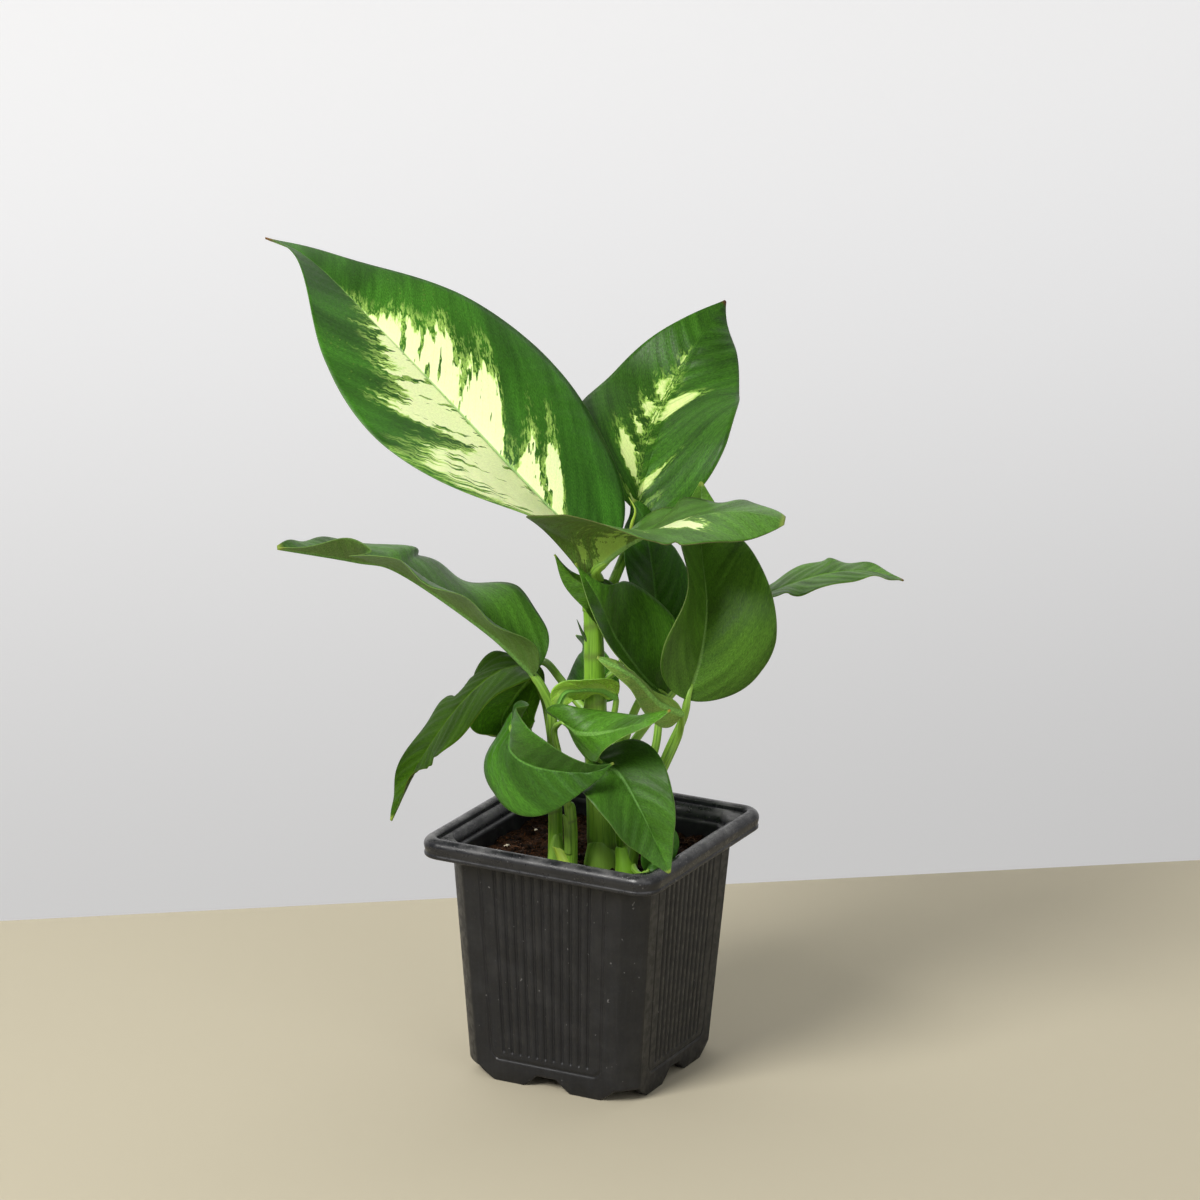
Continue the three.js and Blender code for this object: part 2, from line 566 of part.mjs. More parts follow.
// The stalk runs on into the rib, so that blade and stalk are one body. It stops just short of the
// stem, and of the stalks before it where they rise as a sheath one inside the other.
function stalkTube(leaf) {
  const start = new THREE.Vector3(...leaf.rib[0]);
  const onward = new THREE.Vector3(...leaf.rib[1]).sub(start).setLength(stalkOverlap * leaf.width);
  const path = [...leaf.stalk, leaf.rib[0], start.add(onward).toArray()];
  return { path, radius: leaf.stalkRadius, sides: stalkSides, steps: 2 * path.length - 2 };
}

function makeLeaf(leaf, stemHole, stalkHoles) {
  let stalk = bentTube(stalkTube(leaf));
  for (const hole of Object.values(stalkHoles)) {
    stalk = stalk.subtract(hole);
  }
  let blade = makeBlade(leaf);
  if (leaf.notchedBy) {
    blade = blade.subtract(stalkHoles[leaf.notchedBy]);
  }
  return largestPiece(blade.add(stalk).subtract(stemHole));
}

const plant = new THREE.Group();
plant.position.set(...potMiddle, 0);
const stemSolids = {};
const stemHoles = {};
for (const [name, stem] of Object.entries(stems)) {
  stemSolids[name] = bentTube(stem);
  stemHoles[name] = bentTube({ ...stem, extra: clearance });
}

addMesh(plant, 'pot', makePot(), potPlastic);
addMesh(plant, 'soil', makeSoil(Object.values(stemHoles)), peat);
for (const [name, solid] of Object.entries(stemSolids)) {
  addMesh(plant, name, solid, stemGreen);
}
const stalkHoles = {};
for (const [name, leaf] of Object.entries(leaves)) {
  const look = leaf.young ? youngGreen : leafGreen;
  addMesh(plant, name, makeLeaf(leaf, stemHoles[leaf.on], stalkHoles), look);
  stalkHoles[name] = bentTube({ ...stalkTube(leaf), extra: clearance });
}

export default plant;
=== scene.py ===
# A potted dieffenbachia: fine blades, stalks, stems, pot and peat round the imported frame.
# Shapes are written in millimetres from the middle of the pot's foot plane and placed in metres.
import bpy
import math
import random
import numpy as np
from mathutils import Matrix, Vector, noise


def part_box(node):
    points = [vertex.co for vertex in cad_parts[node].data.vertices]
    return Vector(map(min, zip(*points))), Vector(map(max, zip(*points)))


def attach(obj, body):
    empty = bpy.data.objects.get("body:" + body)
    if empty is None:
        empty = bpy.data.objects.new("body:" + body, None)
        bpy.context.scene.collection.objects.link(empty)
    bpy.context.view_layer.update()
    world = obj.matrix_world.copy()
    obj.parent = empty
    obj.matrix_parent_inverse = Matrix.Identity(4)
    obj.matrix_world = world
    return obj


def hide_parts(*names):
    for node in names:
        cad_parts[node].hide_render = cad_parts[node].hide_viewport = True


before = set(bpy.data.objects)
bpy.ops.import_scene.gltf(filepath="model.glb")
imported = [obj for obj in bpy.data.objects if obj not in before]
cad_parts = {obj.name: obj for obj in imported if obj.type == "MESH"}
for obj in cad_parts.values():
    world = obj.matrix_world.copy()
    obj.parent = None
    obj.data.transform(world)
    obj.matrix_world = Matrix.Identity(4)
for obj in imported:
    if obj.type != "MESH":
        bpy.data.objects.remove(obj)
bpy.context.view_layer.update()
potLow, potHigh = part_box("pot")
potMiddle = np.array([(potLow.x + potHigh.x) / 2, (potLow.y + potHigh.y) / 2, 0.0])
millimetre = 0.001


# Camera and light. The camera's numbers come from a least-squares fit to the pot's edges, marked
# on the photo.

view = {
    "place": (942.4, -1851.7, 805.0),  # from the pot's middle, mm
    "yaw": 26.93,  # degrees left of +Y
    "pitch": 16.46,  # degrees down
    "roll": 0.80,
    "focal": 5573.6,  # in pixels of the photo
    "pixels": 1200,
    "sensor": 36,  # mm
    "clip": (0.05, 50),  # m
}


def makeCamera():
    yaw, pitch, roll = (math.radians(view[k]) for k in ("yaw", "pitch", "roll"))
    ahead = Vector((-math.sin(yaw) * math.cos(pitch), math.cos(yaw) * math.cos(pitch), -math.sin(pitch)))
    level = Vector((math.cos(yaw), math.sin(yaw), 0))
    upright = level.cross(ahead)
    right = level * math.cos(roll) + upright * math.sin(roll)
    up = upright * math.cos(roll) - level * math.sin(roll)
    camera = bpy.data.objects.new("camera", bpy.data.cameras.new("camera"))
    bpy.context.scene.collection.objects.link(camera)
    place = Vector(potMiddle) + Vector(view["place"]) * millimetre
    camera.matrix_world = Matrix.Translation(place) @ Matrix((right, up, -ahead)).transposed().to_4x4()
    camera.data.sensor_width = view["sensor"]
    camera.data.lens = view["focal"] / view["pixels"] * view["sensor"]
    camera.data.clip_start, camera.data.clip_end = view["clip"]
    bpy.context.scene.camera = camera


studio = {  # places and distances in metres
    "key": {"place": (-0.5, -1.95, 1.75), "size": 1.0, "power": 68, "colour": (1, 0.985, 0.95)},
    "fill": {"place": (1.9, -1.1, 0.9), "size": 1.6, "power": 9, "colour": (0.97, 0.99, 1)},
    "back": {"place": (0.5, 1.1, 1.4), "size": 0.9, "power": 1.5, "colour": (1, 1, 1)},
    "aim": (0, 0, 0.16),
    "sky": (0.9, 0.9, 0.9),
    "skyStrength": 0.3,
    "floor": (0.52, 0.47, 0.35),
    "wall": (0.8, 0.8, 0.81),
    "roughness": 0.85,
    "wallGlow": (-0.45, 0.15, 0.15, 0.375),  # two heights, and the glow at each
    "farEdge": ((0, 921), (1200, 860)),  # where the table ends, in pixels of the photo
    "floorSize": (3, 4),  # how far it runs past that edge's ends and in front of it
    "wallWide": 4,  # past the edge's ends
    "wallBehind": 1.2,
    "wallHeights": (-2, 4),
}


def floorPoint(pixel):
    camera = bpy.context.scene.camera
    x, y = (np.array(pixel) - view["pixels"] / 2) / view["focal"]
    ray = camera.matrix_world.to_3x3() @ Vector((x, -y, -1))
    return camera.location + ray * (-camera.location.z / ray.z)


def addLamp(name):
    look = studio[name]
    lamp = bpy.data.objects.new(name, bpy.data.lights.new(name, "AREA"))
    lamp.data.size = look["size"]
    lamp.data.energy = look["power"]
    lamp.data.color = look["colour"]
    lamp.location = look["place"]
    lamp.rotation_euler = (Vector(studio["aim"]) - lamp.location).to_track_quat("-Z", "Y").to_euler()
    bpy.context.scene.collection.objects.link(lamp)


def addGround(name, points):
    mesh = bpy.data.meshes.new(name)
    mesh.from_pydata(points, [], [(0, 1, 2, 3)])
    ground = bpy.data.objects.new(name, mesh)
    bpy.context.scene.collection.objects.link(ground)
    paint, tree, shader = newMaterial(name, Base_Color=(*studio[name], 1), Roughness=studio["roughness"])
    mesh.materials.append(paint)
    return tree, shader


def makeStudio():
    for name in ("key", "fill", "back"):
        addLamp(name)
    world = bpy.data.worlds.new("studio")
    world.use_nodes = True
    sky = world.node_tree.nodes["Background"].inputs
    sky["Color"].default_value = (*studio["sky"], 1)
    sky["Strength"].default_value = studio["skyStrength"]
    bpy.context.scene.world = world
    bpy.context.scene.view_settings.view_transform = "Standard"
    left, right = (floorPoint(pixel) for pixel in studio["farEdge"])
    along = (right - left).normalized()
    back = Vector((-along.y, along.x, 0))
    aside, near = studio["floorSize"][0] * along, studio["floorSize"][1] * back
    addGround("floor", (left - aside - near, right + aside - near, right + aside, left - aside))
    aside, behind = studio["wallWide"] * along, studio["wallBehind"] * back
    low, high = (Vector((0, 0, height)) for height in studio["wallHeights"])
    corners = ((left - aside, low), (right + aside, low), (right + aside, high), (left - aside, high))
    tree, shader = addGround("wall", tuple(spot + behind + lift for spot, lift in corners))
    shader.inputs["Emission Color"].default_value = (*studio["wall"], 1)
    height = addNode(tree, "ShaderNodeSeparateXYZ", (placeAt(tree),)).outputs[2]
    feed(tree, shader.inputs["Emission Strength"], ease(tree, height, *studio["wallGlow"]))
    clear = addNode(tree, "ShaderNodeBsdfTransparent").outputs[0]  # seen from behind, it isn't there
    backside = addNode(tree, "ShaderNodeNewGeometry").outputs["Backfacing"]
    either = addNode(tree, "ShaderNodeMixShader", (backside, shader.outputs[0], clear))
    feed(tree, tree.nodes["Material Output"].inputs["Surface"], either.outputs[0])


# Meshes and node trees

def makePiece(name, points, faces, materials, node=None, slot=None, faceMaterial=None, values=None):
    mesh = bpy.data.meshes.new(name)
    placed = np.asarray(points, float) * millimetre + potMiddle
    mesh.from_pydata(placed.tolist(), [], faces)
    for material in materials:
        mesh.materials.append(material)
    if faceMaterial is not None:
        mesh.polygons.foreach_set("material_index", faceMaterial)
    mesh.polygons.foreach_set("use_smooth", [True] * len(faces))
    for key, numbers in (values or {}).items():
        numbers = np.asarray(numbers, np.float32)
        kind, field = ("FLOAT_VECTOR", "vector") if numbers.ndim == 2 else ("FLOAT", "value")
        mesh.attributes.new(key, kind, "POINT").data.foreach_set(field, numbers.ravel())
    mesh.update()
    piece = bpy.data.objects.new(name, mesh)
    bpy.context.scene.collection.objects.link(piece)
    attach(piece, "root")
    if node:
        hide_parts(node)
    return piece


def gridFaces(rows, columns, start=0, flip=False, closed=False):
    faces = []
    last = columns if closed else columns - 1
    for row in range(rows - 1):
        for column in range(last):
            a = start + row * columns + column
            b = start + row * columns + (column + 1) % columns
            quad = (a, b, b + columns, a + columns)
            faces.append(quad[::-1] if flip else quad)
    return faces


def sheetFaces(rows, columns):
    # a closed sheet, whose points are the grid of its upper face and then that of its lower face
    size = rows * columns
    faces = gridFaces(rows, columns) + gridFaces(rows, columns, size, flip=True)
    for row in range(rows - 1):
        a = row * columns
        b = a + columns - 1
        faces.append((a, a + columns, size + a + columns, size + a))
        faces.append((b, size + b, size + b + columns, b + columns))
    for column in range(columns - 1):
        end = (rows - 1) * columns + column
        faces.append((column, size + column, size + column + 1, column + 1))
        faces.append((end, end + 1, size + end + 1, size + end))
    return faces


def tubeFaces(rings, sides):
    faces = gridFaces(rings, sides, closed=True)
    faces.append(tuple(range(sides))[::-1])
    faces.append(tuple((rings - 1) * sides + k for k in range(sides)))
    return faces


def feed(tree, socket, value):
    if isinstance(value, bpy.types.NodeSocket):
        tree.links.new(value, socket)
    elif value is not None:
        socket.default_value = value


def addNode(tree, kind, values=(), **settings):
    made = tree.nodes.new(kind)
    for key, value in settings.items():
        setattr(made, key, value)
    for index, value in enumerate(values):
        feed(tree, made.inputs[index], value)
    return made


def sums(tree, operation, *values):
    return addNode(tree, "ShaderNodeMath", values, operation=operation).outputs[0]


def times(tree, first, second):
    return sums(tree, "MULTIPLY", first, second)


def mixColour(tree, factor, first, second, blend="MIX"):
    made = addNode(tree, "ShaderNodeMix", data_type="RGBA", blend_type=blend)
    feed(tree, made.inputs[0], factor)
    feed(tree, made.inputs[6], first)
    feed(tree, made.inputs[7], second)
    return made.outputs[2]


def ease(tree, value, low, high, toLow=0.0, toHigh=1.0):
    made = addNode(tree, "ShaderNodeMapRange", (value, low, high, toLow, toHigh))
    made.interpolation_type = "SMOOTHSTEP"
    return made.outputs[0]


def grainAt(tree, vector, scale, detail=2.0, roughness=0.55, shift=0.0):
    # noise whose scale is one number or three, and which shift moves away from the others
    scaled = addNode(tree, "ShaderNodeVectorMath", operation="MULTIPLY_ADD")
    feed(tree, scaled.inputs[0], vector)
    scaled.inputs[1].default_value = scale if isinstance(scale, tuple) else (scale, scale, scale)
    scaled.inputs[2].default_value = (shift, shift * 0.7, shift * 1.3)
    made = addNode(tree, "ShaderNodeTexNoise", (scaled.outputs[0],))
    made.inputs["Scale"].default_value = 1
    made.inputs["Detail"].default_value = detail
    made.inputs["Roughness"].default_value = roughness
    return made.outputs[0]


def attributeAt(tree, name, output="Fac"):
    return addNode(tree, "ShaderNodeAttribute", attribute_name=name).outputs[output]


def placeAt(tree):
    return addNode(tree, "ShaderNodeTexCoord").outputs["Object"]


def makeGroup(name, vector, numbers, results):
    group = bpy.data.node_groups.new(name, "ShaderNodeTree")
    group.interface.new_socket(vector, in_out="INPUT", socket_type="NodeSocketVector")
    for label in numbers:
        group.interface.new_socket(label, in_out="INPUT", socket_type="NodeSocketFloat")
    for label in results:
        group.interface.new_socket(label, in_out="OUTPUT", socket_type="NodeSocketFloat")
    return group, addNode(group, "NodeGroupInput").outputs, addNode(group, "NodeGroupOutput").inputs


def placeGroup(tree, group, **values):
    made = addNode(tree, "ShaderNodeGroup", node_tree=group)
    for label, value in values.items():
        feed(tree, made.inputs[label], value)
    return made.outputs


def newMaterial(name, **shine):
    material = bpy.data.materials.new(name)
    material.use_nodes = True
    shader = material.node_tree.nodes["Principled BSDF"]
    for label, value in shine.items():
        shader.inputs[label.replace("_", " ")].default_value = value
    return material, material.node_tree, shader


def addBump(tree, shader, height, depth, strength=1.0):
    bump = addNode(tree, "ShaderNodeBump")
    bump.inputs["Strength"].default_value = strength
    bump.inputs["Distance"].default_value = depth * millimetre
    feed(tree, bump.inputs["Height"], height)
    feed(tree, shader.inputs["Normal"], bump.outputs[0])


# Shared patterns. A blade carries veinAt, whose x runs across the side veins and y along them.

veinGrains = {  # scale, detail, roughness and shift of each noise
    "Streaks": ((9, 0.7, 1), 3, 0.55, 0),
    "Bands": ((2.8, 0.3, 1), 2, 0.55, 4),
    "Mottle": ((16, 13, 1), 2, 0.55, 9),
    "Cloud": ((0.5, 0.36, 1), 3, 0.55, 13),
    "Grain": ((20, 15, 1), 3, 0.65, 17),
}
veinLines = {"perCentimetre": 2.6, "sway": 1.6, "width": 0.1, "start": (0.1, 0.5)}  # start is off the rib, cm


def makeVeinGroup():
    group, source, sink = makeGroup("veinPattern", "Vein", (), (*veinGrains, "Lines"))
    vein = source["Vein"]
    for label, grain in veinGrains.items():
        feed(group, sink[label], grainAt(group, vein, *grain))
    across, along = addNode(group, "ShaderNodeSeparateXYZ", (vein,)).outputs[:2]
    sway = times(group, grainAt(group, vein, (0.5, 0.4, 1), detail=1, shift=31), veinLines["sway"])
    turns = sums(group, "MULTIPLY_ADD", across, veinLines["perCentimetre"], sway)
    crest = sums(group, "ABSOLUTE", sums(group, "SUBTRACT", sums(group, "FRACT", turns), 0.5))
    line = ease(group, crest, veinLines["width"], 0.0)
    feed(group, sink["Lines"], times(group, line, ease(group, along, *veinLines["start"])))
    return group


def makeCreamGroup():
    group, source, sink = makeGroup(
        "creamPattern", "Vein", ("Field", "Ragged", "Holes"), ("Mask", "Spatter", "Depth"))
    vein, field, ragged, holes = source[:4]
    streak = sums(group, "SUBTRACT", grainAt(group, vein, (4, 1.2, 1), detail=2, roughness=0.5), 0.5)
    blotch = sums(group, "SUBTRACT", grainAt(group, vein, (1.5, 0.8, 1), detail=2, shift=5), 0.5)
    fine = sums(group, "SUBTRACT", grainAt(group, vein, (10, 5, 1), detail=3, roughness=0.6, shift=8), 0.5)
    edge = sums(group, "ADD", times(group, streak, 0.9), times(group, blotch, 1.3))
    worn = sums(group, "MULTIPLY_ADD", sums(group, "MULTIPLY_ADD", fine, 0.5, edge), ragged, field)
    dash = grainAt(group, vein, (2.7, 0.85, 1), detail=2, shift=15)
    near = ease(group, field, 0.45, 0.05, 0.7, 0.56)
    kept = ease(group, sums(group, "SUBTRACT", dash, near), 0.012, 0.0)
    kept = sums(group, "MULTIPLY_ADD", sums(group, "SUBTRACT", kept, 1.0), holes, 1.0)
    mask = times(group, ease(group, worn, -0.005, 0.012), kept)
    speck = ease(group, grainAt(group, vein, (7, 4, 1), detail=3, roughness=0.6, shift=22), 0.46, 0.54)
    halo = ease(group, worn, -0.22, -0.03)
    feed(group, sink["Mask"], mask)
    feed(group, sink["Spatter"], times(group, speck, halo))
    feed(group, sink["Depth"], ease(group, worn, 0.0, 0.06))
    return group


def makeDustGroup():
    group, source, sink = makeGroup("dustPattern", "Place", ("Amount",), ("Dust",))
    place, amount = source[:2]
    patch = ease(group, grainAt(group, place, (70, 70, 90), detail=4, roughness=0.6), 0.42, 0.72)
    speck = ease(group, grainAt(group, place, 1500, detail=1, shift=3), 0.66, 0.75)
    both = sums(group, "MAXIMUM", times(group, patch, 0.75), speck)
    feed(group, sink["Dust"], times(group, both, amount))
    return group


# Smooth curves, as the frame's source draws them

def curvePoint(points, share):
    points = np.asarray(points, float)
    count = len(points)
    held = np.vstack([2 * points[0] - points[1], points, 2 * points[-1] - points[-2]])
    along = np.clip(np.asarray(share, float), 0, 1) * (count - 1)
    first = np.minimum(along.astype(int), count - 2)
    w = (along - first)[:, None]
    a, b, c, d = held[first], held[first + 1], held[first + 2], held[first + 3]
    leave, reach = 0.5 * (c - a), 0.5 * (d - b)
    return (2 * b - 2 * c + leave + reach) * w**3 + (3 * c - 3 * b - 2 * leave - reach) * w**2 + leave * w + b


def evenShare(points, t, pieces=200):
    share = np.linspace(0, 1, pieces + 1)
    walked = np.r_[0, np.cumsum(np.linalg.norm(np.diff(curvePoint(points, share), axis=0), axis=1))]
    return np.interp(np.asarray(t, float) * walked[-1], walked, share), walked[-1]


def curveTangent(points, share):
    small = 1e-3
    step = curvePoint(points, np.clip(share + small, 0, 1)) - curvePoint(points, np.clip(share - small, 0, 1))
    return step / np.linalg.norm(step, axis=1)[:, None]


def through(values, t):
    base, middle, tip = values
    return base * (1 - t) * (1 - 2 * t) + 4 * middle * t * (1 - t) + tip * t * (2 * t - 1)


# Leaves: stalk, rib, face, outline, folds and edge waves of each, as in the frame's source. Most of
# the blades' numbers are the rounded results of a least-squares fit to outlines and midribs marked
# by hand on the photo. report.md names this as a rule that isn't met.
leafShapes = {
    "leaf_top_left": {
        "stalk": [[3, -11, 190], [2, -10, 199], [-1, -7, 207]], "stalkRadius": [3, 1.9],
        "rib": [[-4, -2, 213], [-34, -3, 238], [-62, -1, 260], [-93, 1, 284], [-132, 8, 309], [-155, 7, 317]],
        "face": [14, 59], "width": 91, "widest": 0.38, "basePower": 2.8, "tipPower": 1.28, "lobe": 9,
        "roll": [-16, -2, -36], "liftLeft": [50, 21, 30], "liftRight": [23, 18, -4],
        "curlLeft": [14, -6, -18], "curlRight": [-45, -36, 16], "wave": [0.6, 3, 0, 90],
    },
    "leaf_top_right": {
        "stalk": [[4, -10, 182], [4, -2, 190], [4, 10, 200], [4, 21, 211]],
        "stalkRadius": [2.4, 1.6],
        "rib": [[-1, 36, 218], [-1, 52, 242], [-2, 74, 259], [1, 91, 277], [1, 110, 289]],
        "face": [25, 27], "width": 68, "widest": 0.29, "basePower": 1.5, "tipPower": 1.18, "lobe": 0,
        "roll": [-10, 13, -23], "liftLeft": [48, 6, 13], "liftRight": [25, 23, -28],
        "curlLeft": [-1, -12, -12], "curlRight": [-12, -10, -8], "wave": [0.5, 3, 40, 0],
    },
    "leaf_front_arching": {
        "stalk": [[4, -10, 188], [5, -10, 195], [7, -11, 202]], "stalkRadius": [2.8, 1.9],
        "rib": [[9, -18, 209], [27, -21, 224], [49, -17, 235], [67, -12, 239], [84, -5, 236]],
        "face": [71, 43], "width": 84, "widest": 0.25, "basePower": 2.9, "tipPower": 0.8, "lobe": 6,
        "roll": [36, 25, 6], "liftLeft": [-1, -27, -10], "liftRight": [94, 24, 0],
        "curlLeft": [-14, 13, -40], "curlRight": [0, 1, -21], "wave": [1, 3, 0, 60],
    },
    "leaf_left_wavy": {
        "stalk": [[-8, -19, 114], [-8, -19, 126], [-9, -18, 137], [-10, -17, 149], [-13, -18, 157]],
        "stalkRadius": [2.4, 1.8],
        "rib": [[-17, -19, 163], [-35, -25, 180], [-68, -34, 201], [-86, -38, 204], [-105, -68, 214]],
        "face": [-120, 70], "width": 61, "widest": 0.36, "basePower": 2.3, "tipPower": 0.95, "lobe": 0,
        "roll": [23, 8, 11], "liftLeft": [44, 28, 26], "liftRight": [59, 24, 52],
        "curlLeft": [-20, -25, 0], "curlRight": [21, -34, -4], "wave": [2, 4, 0, 120],
    },
    "leaf_left_drooping": {
        "stalk": [[5, -10, 146], [-4, -8, 152], [-13, -4, 158], [-22, 1, 162]],
        "stalkRadius": [1.9, 1.5],
        "rib": [[-31, 6, 159], [-37, -12, 159], [-47, -25, 147], [-61, -32, 123], [-63, -51, 104]],
        "face": [-11, 9], "width": 44, "widest": 0.34, "basePower": 2.3, "tipPower": 1.18, "lobe": 0,
        "roll": [-20, -24, -9], "liftLeft": [24, 22, 38], "liftRight": [-8, -10, 17],
        "curlLeft": [-17, -6, -6], "curlRight": [-36, -27, 5], "wave": [1.2, 4, 0, 90],
    },
    "leaf_left_shaded": {
        "stalk": [[-8, -19, 114], [-13, -10, 128], [-20, -2, 143], [-24, 0, 151]],
        "stalkRadius": [1.7, 1.3],
        "rib": [[-30, 6, 154], [-38, 6, 144], [-42, 2, 134], [-33, -6, 128], [-29, -15, 122]],
        "face": [33, 25], "width": 34, "widest": 0.39, "basePower": 2.2, "tipPower": 1.1, "lobe": 2,
        "roll": [-8, -2, 13], "liftLeft": [23, 45, 13], "liftRight": [12, 36, 42],
        "curlLeft": [-8, -6, -7], "curlRight": [-15, -10, -2], "wave": [0.4, 3, 0, 0],
    },
    "leaf_front_cupped": {
        "stalk": [[-7, -19, 112], [-9, -23, 124], [-12, -29, 133], [-16, -34, 141]],
        "stalkRadius": [1.7, 1.4],
        "rib": [[-17, -37, 147], [-11, -48, 141], [3, -52, 138], [25, -53, 140], [34, -48, 144]],
        "face": [2, 10], "width": 43, "widest": 0.31, "basePower": 2, "tipPower": 1.52, "lobe": 9,
        "roll": [-8, -4, -14], "liftLeft": [34, 40, 27], "liftRight": [-15, 4, 5],
        "curlLeft": [-29, -22, 3], "curlRight": [-20, -8, -10], "wave": [0.4, 3, 0, 0],
    },
    "leaf_front_drooping": {
        "stalk": [[24, -12, 100], [22, -17, 112], [18, -21, 124], [16, -26, 134]],
        "stalkRadius": [1.8, 1.3],
        "rib": [[17, -30, 137], [30, -37, 135], [41, -41, 124], [48, -41, 112], [56, -44, 101]],
        "face": [-8, 41], "width": 34, "widest": 0.35, "basePower": 2.2, "tipPower": 1, "lobe": 4,
        "roll": [1, 7, -2], "liftLeft": [-9, 22, 18], "liftRight": [-6, 39, 14],
        "curlLeft": [-15, -10, -8], "curlRight": [-22, -3, -4], "wave": [0.5, 3, 0, 90],
    },
    "leaf_front_small": {
        "stalk": [[2, -24, 108], [1, -26, 122], [-1, -28, 136], [-2, -30, 146]],
        "stalkRadius": [1.6, 1.2],
        "rib": [[3, -34, 151], [12, -37, 149], [25, -39, 152], [43, -45, 160], [55, -43, 167]],
        "face": [3, 18], "width": 22, "widest": 0.33, "basePower": 2.3, "tipPower": 1.08, "lobe": 9,
        "roll": [-45, 22, 17], "liftLeft": [-5, -24, -6], "liftRight": [-50, 17, 17],
        "curlLeft": [-26, -18, -10], "curlRight": [-45, 10, -10], "wave": [0.3, 3, 0, 0],
    },
    "leaf_young_curled": {
        "stalk": [[7, -10, 136], [10, -9, 142], [13, -9, 149]], "stalkRadius": [1.5, 1.2],
        "rib": [[14, -9, 156], [10, -15, 160], [4, -22, 161], [0, -26, 160], [-3, -27, 152]],
        "face": [-157, 13], "width": 17, "widest": 0.46, "basePower": 2.2, "tipPower": 0.95, "lobe": 0,
        "roll": [-1, 16, 0], "liftLeft": [23, -5, 6], "liftRight": [22, 19, 6],
        "curlLeft": [-10, -19, -10], "curlRight": [-15, -8, -8], "wave": [0.3, 2, 0, 0],
    },
    "leaf_right_upright": {
        "stalk": [[25, -10, 104], [29, -6, 120], [34, -3, 136], [39, -1, 149]],
        "stalkRadius": [2, 1.6],
        "rib": [[41, -1, 158], [43, 5, 173], [41, 14, 191], [32, 27, 211], [25, 40, 234]],
        "face": [44, 10], "width": 56, "widest": 0.3, "basePower": 1.6, "tipPower": 1.15, "lobe": 1,
        "roll": [-9, 0, 1], "liftLeft": [16, 40, 5], "liftRight": [-4, 39, 6],
        "curlLeft": [-45, 34, -9], "curlRight": [-14, 1, -10], "wave": [0.6, 3, 0, 90],
    },
    "leaf_centre_dark": {
        "stalk": [[5, -10, 160], [11, -6, 165], [13, 0, 171]], "stalkRadius": [1.6, 1.2],
        "rib": [[13, 4, 177], [11, -5, 188], [11, -18, 199], [1, -22, 206], [-7, -23, 215]],
        "face": [39, 18], "width": 17, "widest": 0.47, "basePower": 2, "tipPower": 1.15, "lobe": 0,
        "roll": [2, -3, -20], "liftLeft": [25, -7, 1], "liftRight": [28, -23, -50],
        "curlLeft": [-10, -16, -12], "curlRight": [-9, -7, -24], "wave": [0.3, 2, 0, 0],
    },
    "leaf_centre_folded": {
        "stalk": [[25, -10, 110], [25, -5, 122], [27, 0, 136], [27, 3, 147]],
        "stalkRadius": [1.9, 1.5],
        "rib": [[27, 8, 154], [22, -1, 163], [14, -11, 181], [14, -25, 199], [5, -29, 215]],
        "face": [36, 36], "width": 49, "widest": 0.4, "basePower": 2.3, "tipPower": 1.8, "lobe": 0,
        "roll": [-2, -15, -15], "liftLeft": [59, 24, 17], "liftRight": [47, 8, -4],
        "curlLeft": [-4, 45, -27], "curlRight": [-4, -6, -13], "wave": [0.5, 3, 0, 90],
    },
    "leaf_young_right": {
        "stalk": [[24, -12, 100], [30, -12, 116], [36, -9, 132], [40, -6, 144]],
        "stalkRadius": [1.6, 1.2],
        "rib": [[46, -16, 156], [41, -27, 163], [37, -37, 174], [33, -44, 180], [25, -49, 185]],
        "face": [-141, -36], "width": 18, "widest": 0.34, "basePower": 2.2, "tipPower": 0.95, "lobe": 0,
        "roll": [5, -21, -3], "liftLeft": [15, 35, 4], "liftRight": [23, 8, -1],
        "curlLeft": [-13, -5, -8], "curlRight": [-11, -14, -9], "wave": [0.3, 2, 0, 0],
    },
    "leaf_back_upright": {
        "stalk": [[7, 9, 126], [11, 13, 144], [17, 17, 158]], "stalkRadius": [1.9, 1.5],
        "rib": [[17, 23, 166], [15, 22, 188], [12, 22, 207], [6, 27, 219], [1, 27, 226]],
        "face": [42, 13], "width": 34, "widest": 0.41, "basePower": 2.2, "tipPower": 0.95, "lobe": 0,
        "roll": [2, -18, 0], "liftLeft": [27, 23, -25], "liftRight": [31, -1, -24],
        "curlLeft": [-10, 1, -15], "curlRight": [-8, -11, -17], "wave": [0.4, 3, 0, 0],
    },
    "leaf_far_right": {
        "stalk": [[7, 9, 124], [12, 24, 137], [22, 40, 155], [32, 50, 172]],
        "stalkRadius": [1.9, 1.4],
        "rib": [[39, 55, 181], [52, 65, 188], [68, 70, 194], [80, 80, 194], [91, 91, 189]],
        "face": [-20, 49], "width": 30, "widest": 0.39, "basePower": 2.1, "tipPower": 0.97, "lobe": 0,
        "roll": [19, 13, 11], "liftLeft": [1, -4, 2], "liftRight": [27, 17, 18],
        "curlLeft": [-21, -8, -14], "curlRight": [-17, -12, -3], "wave": [0.8, 4, 0, 90],
    },
    "leaf_back_small": {
        "stalk": [[7, 9, 118], [2, 10, 128], [-3, 10, 138]], "stalkRadius": [1.5, 1.2],
        "rib": [[-5, 9, 146], [-5, 9, 156], [-10, 12, 167], [-16, 14, 171]],
        "face": [22, -30], "width": 24, "widest": 0.39, "basePower": 2.2, "tipPower": 1.01, "lobe": 0,
        "roll": [-4, 12, 8], "liftLeft": [27, 1, -5], "liftRight": [21, 19, 8],
        "curlLeft": [-9, -14, -12], "curlRight": [-11, -9, -9], "wave": [0.3, 2, 0, 0],
    },
    "leaf_basal": {
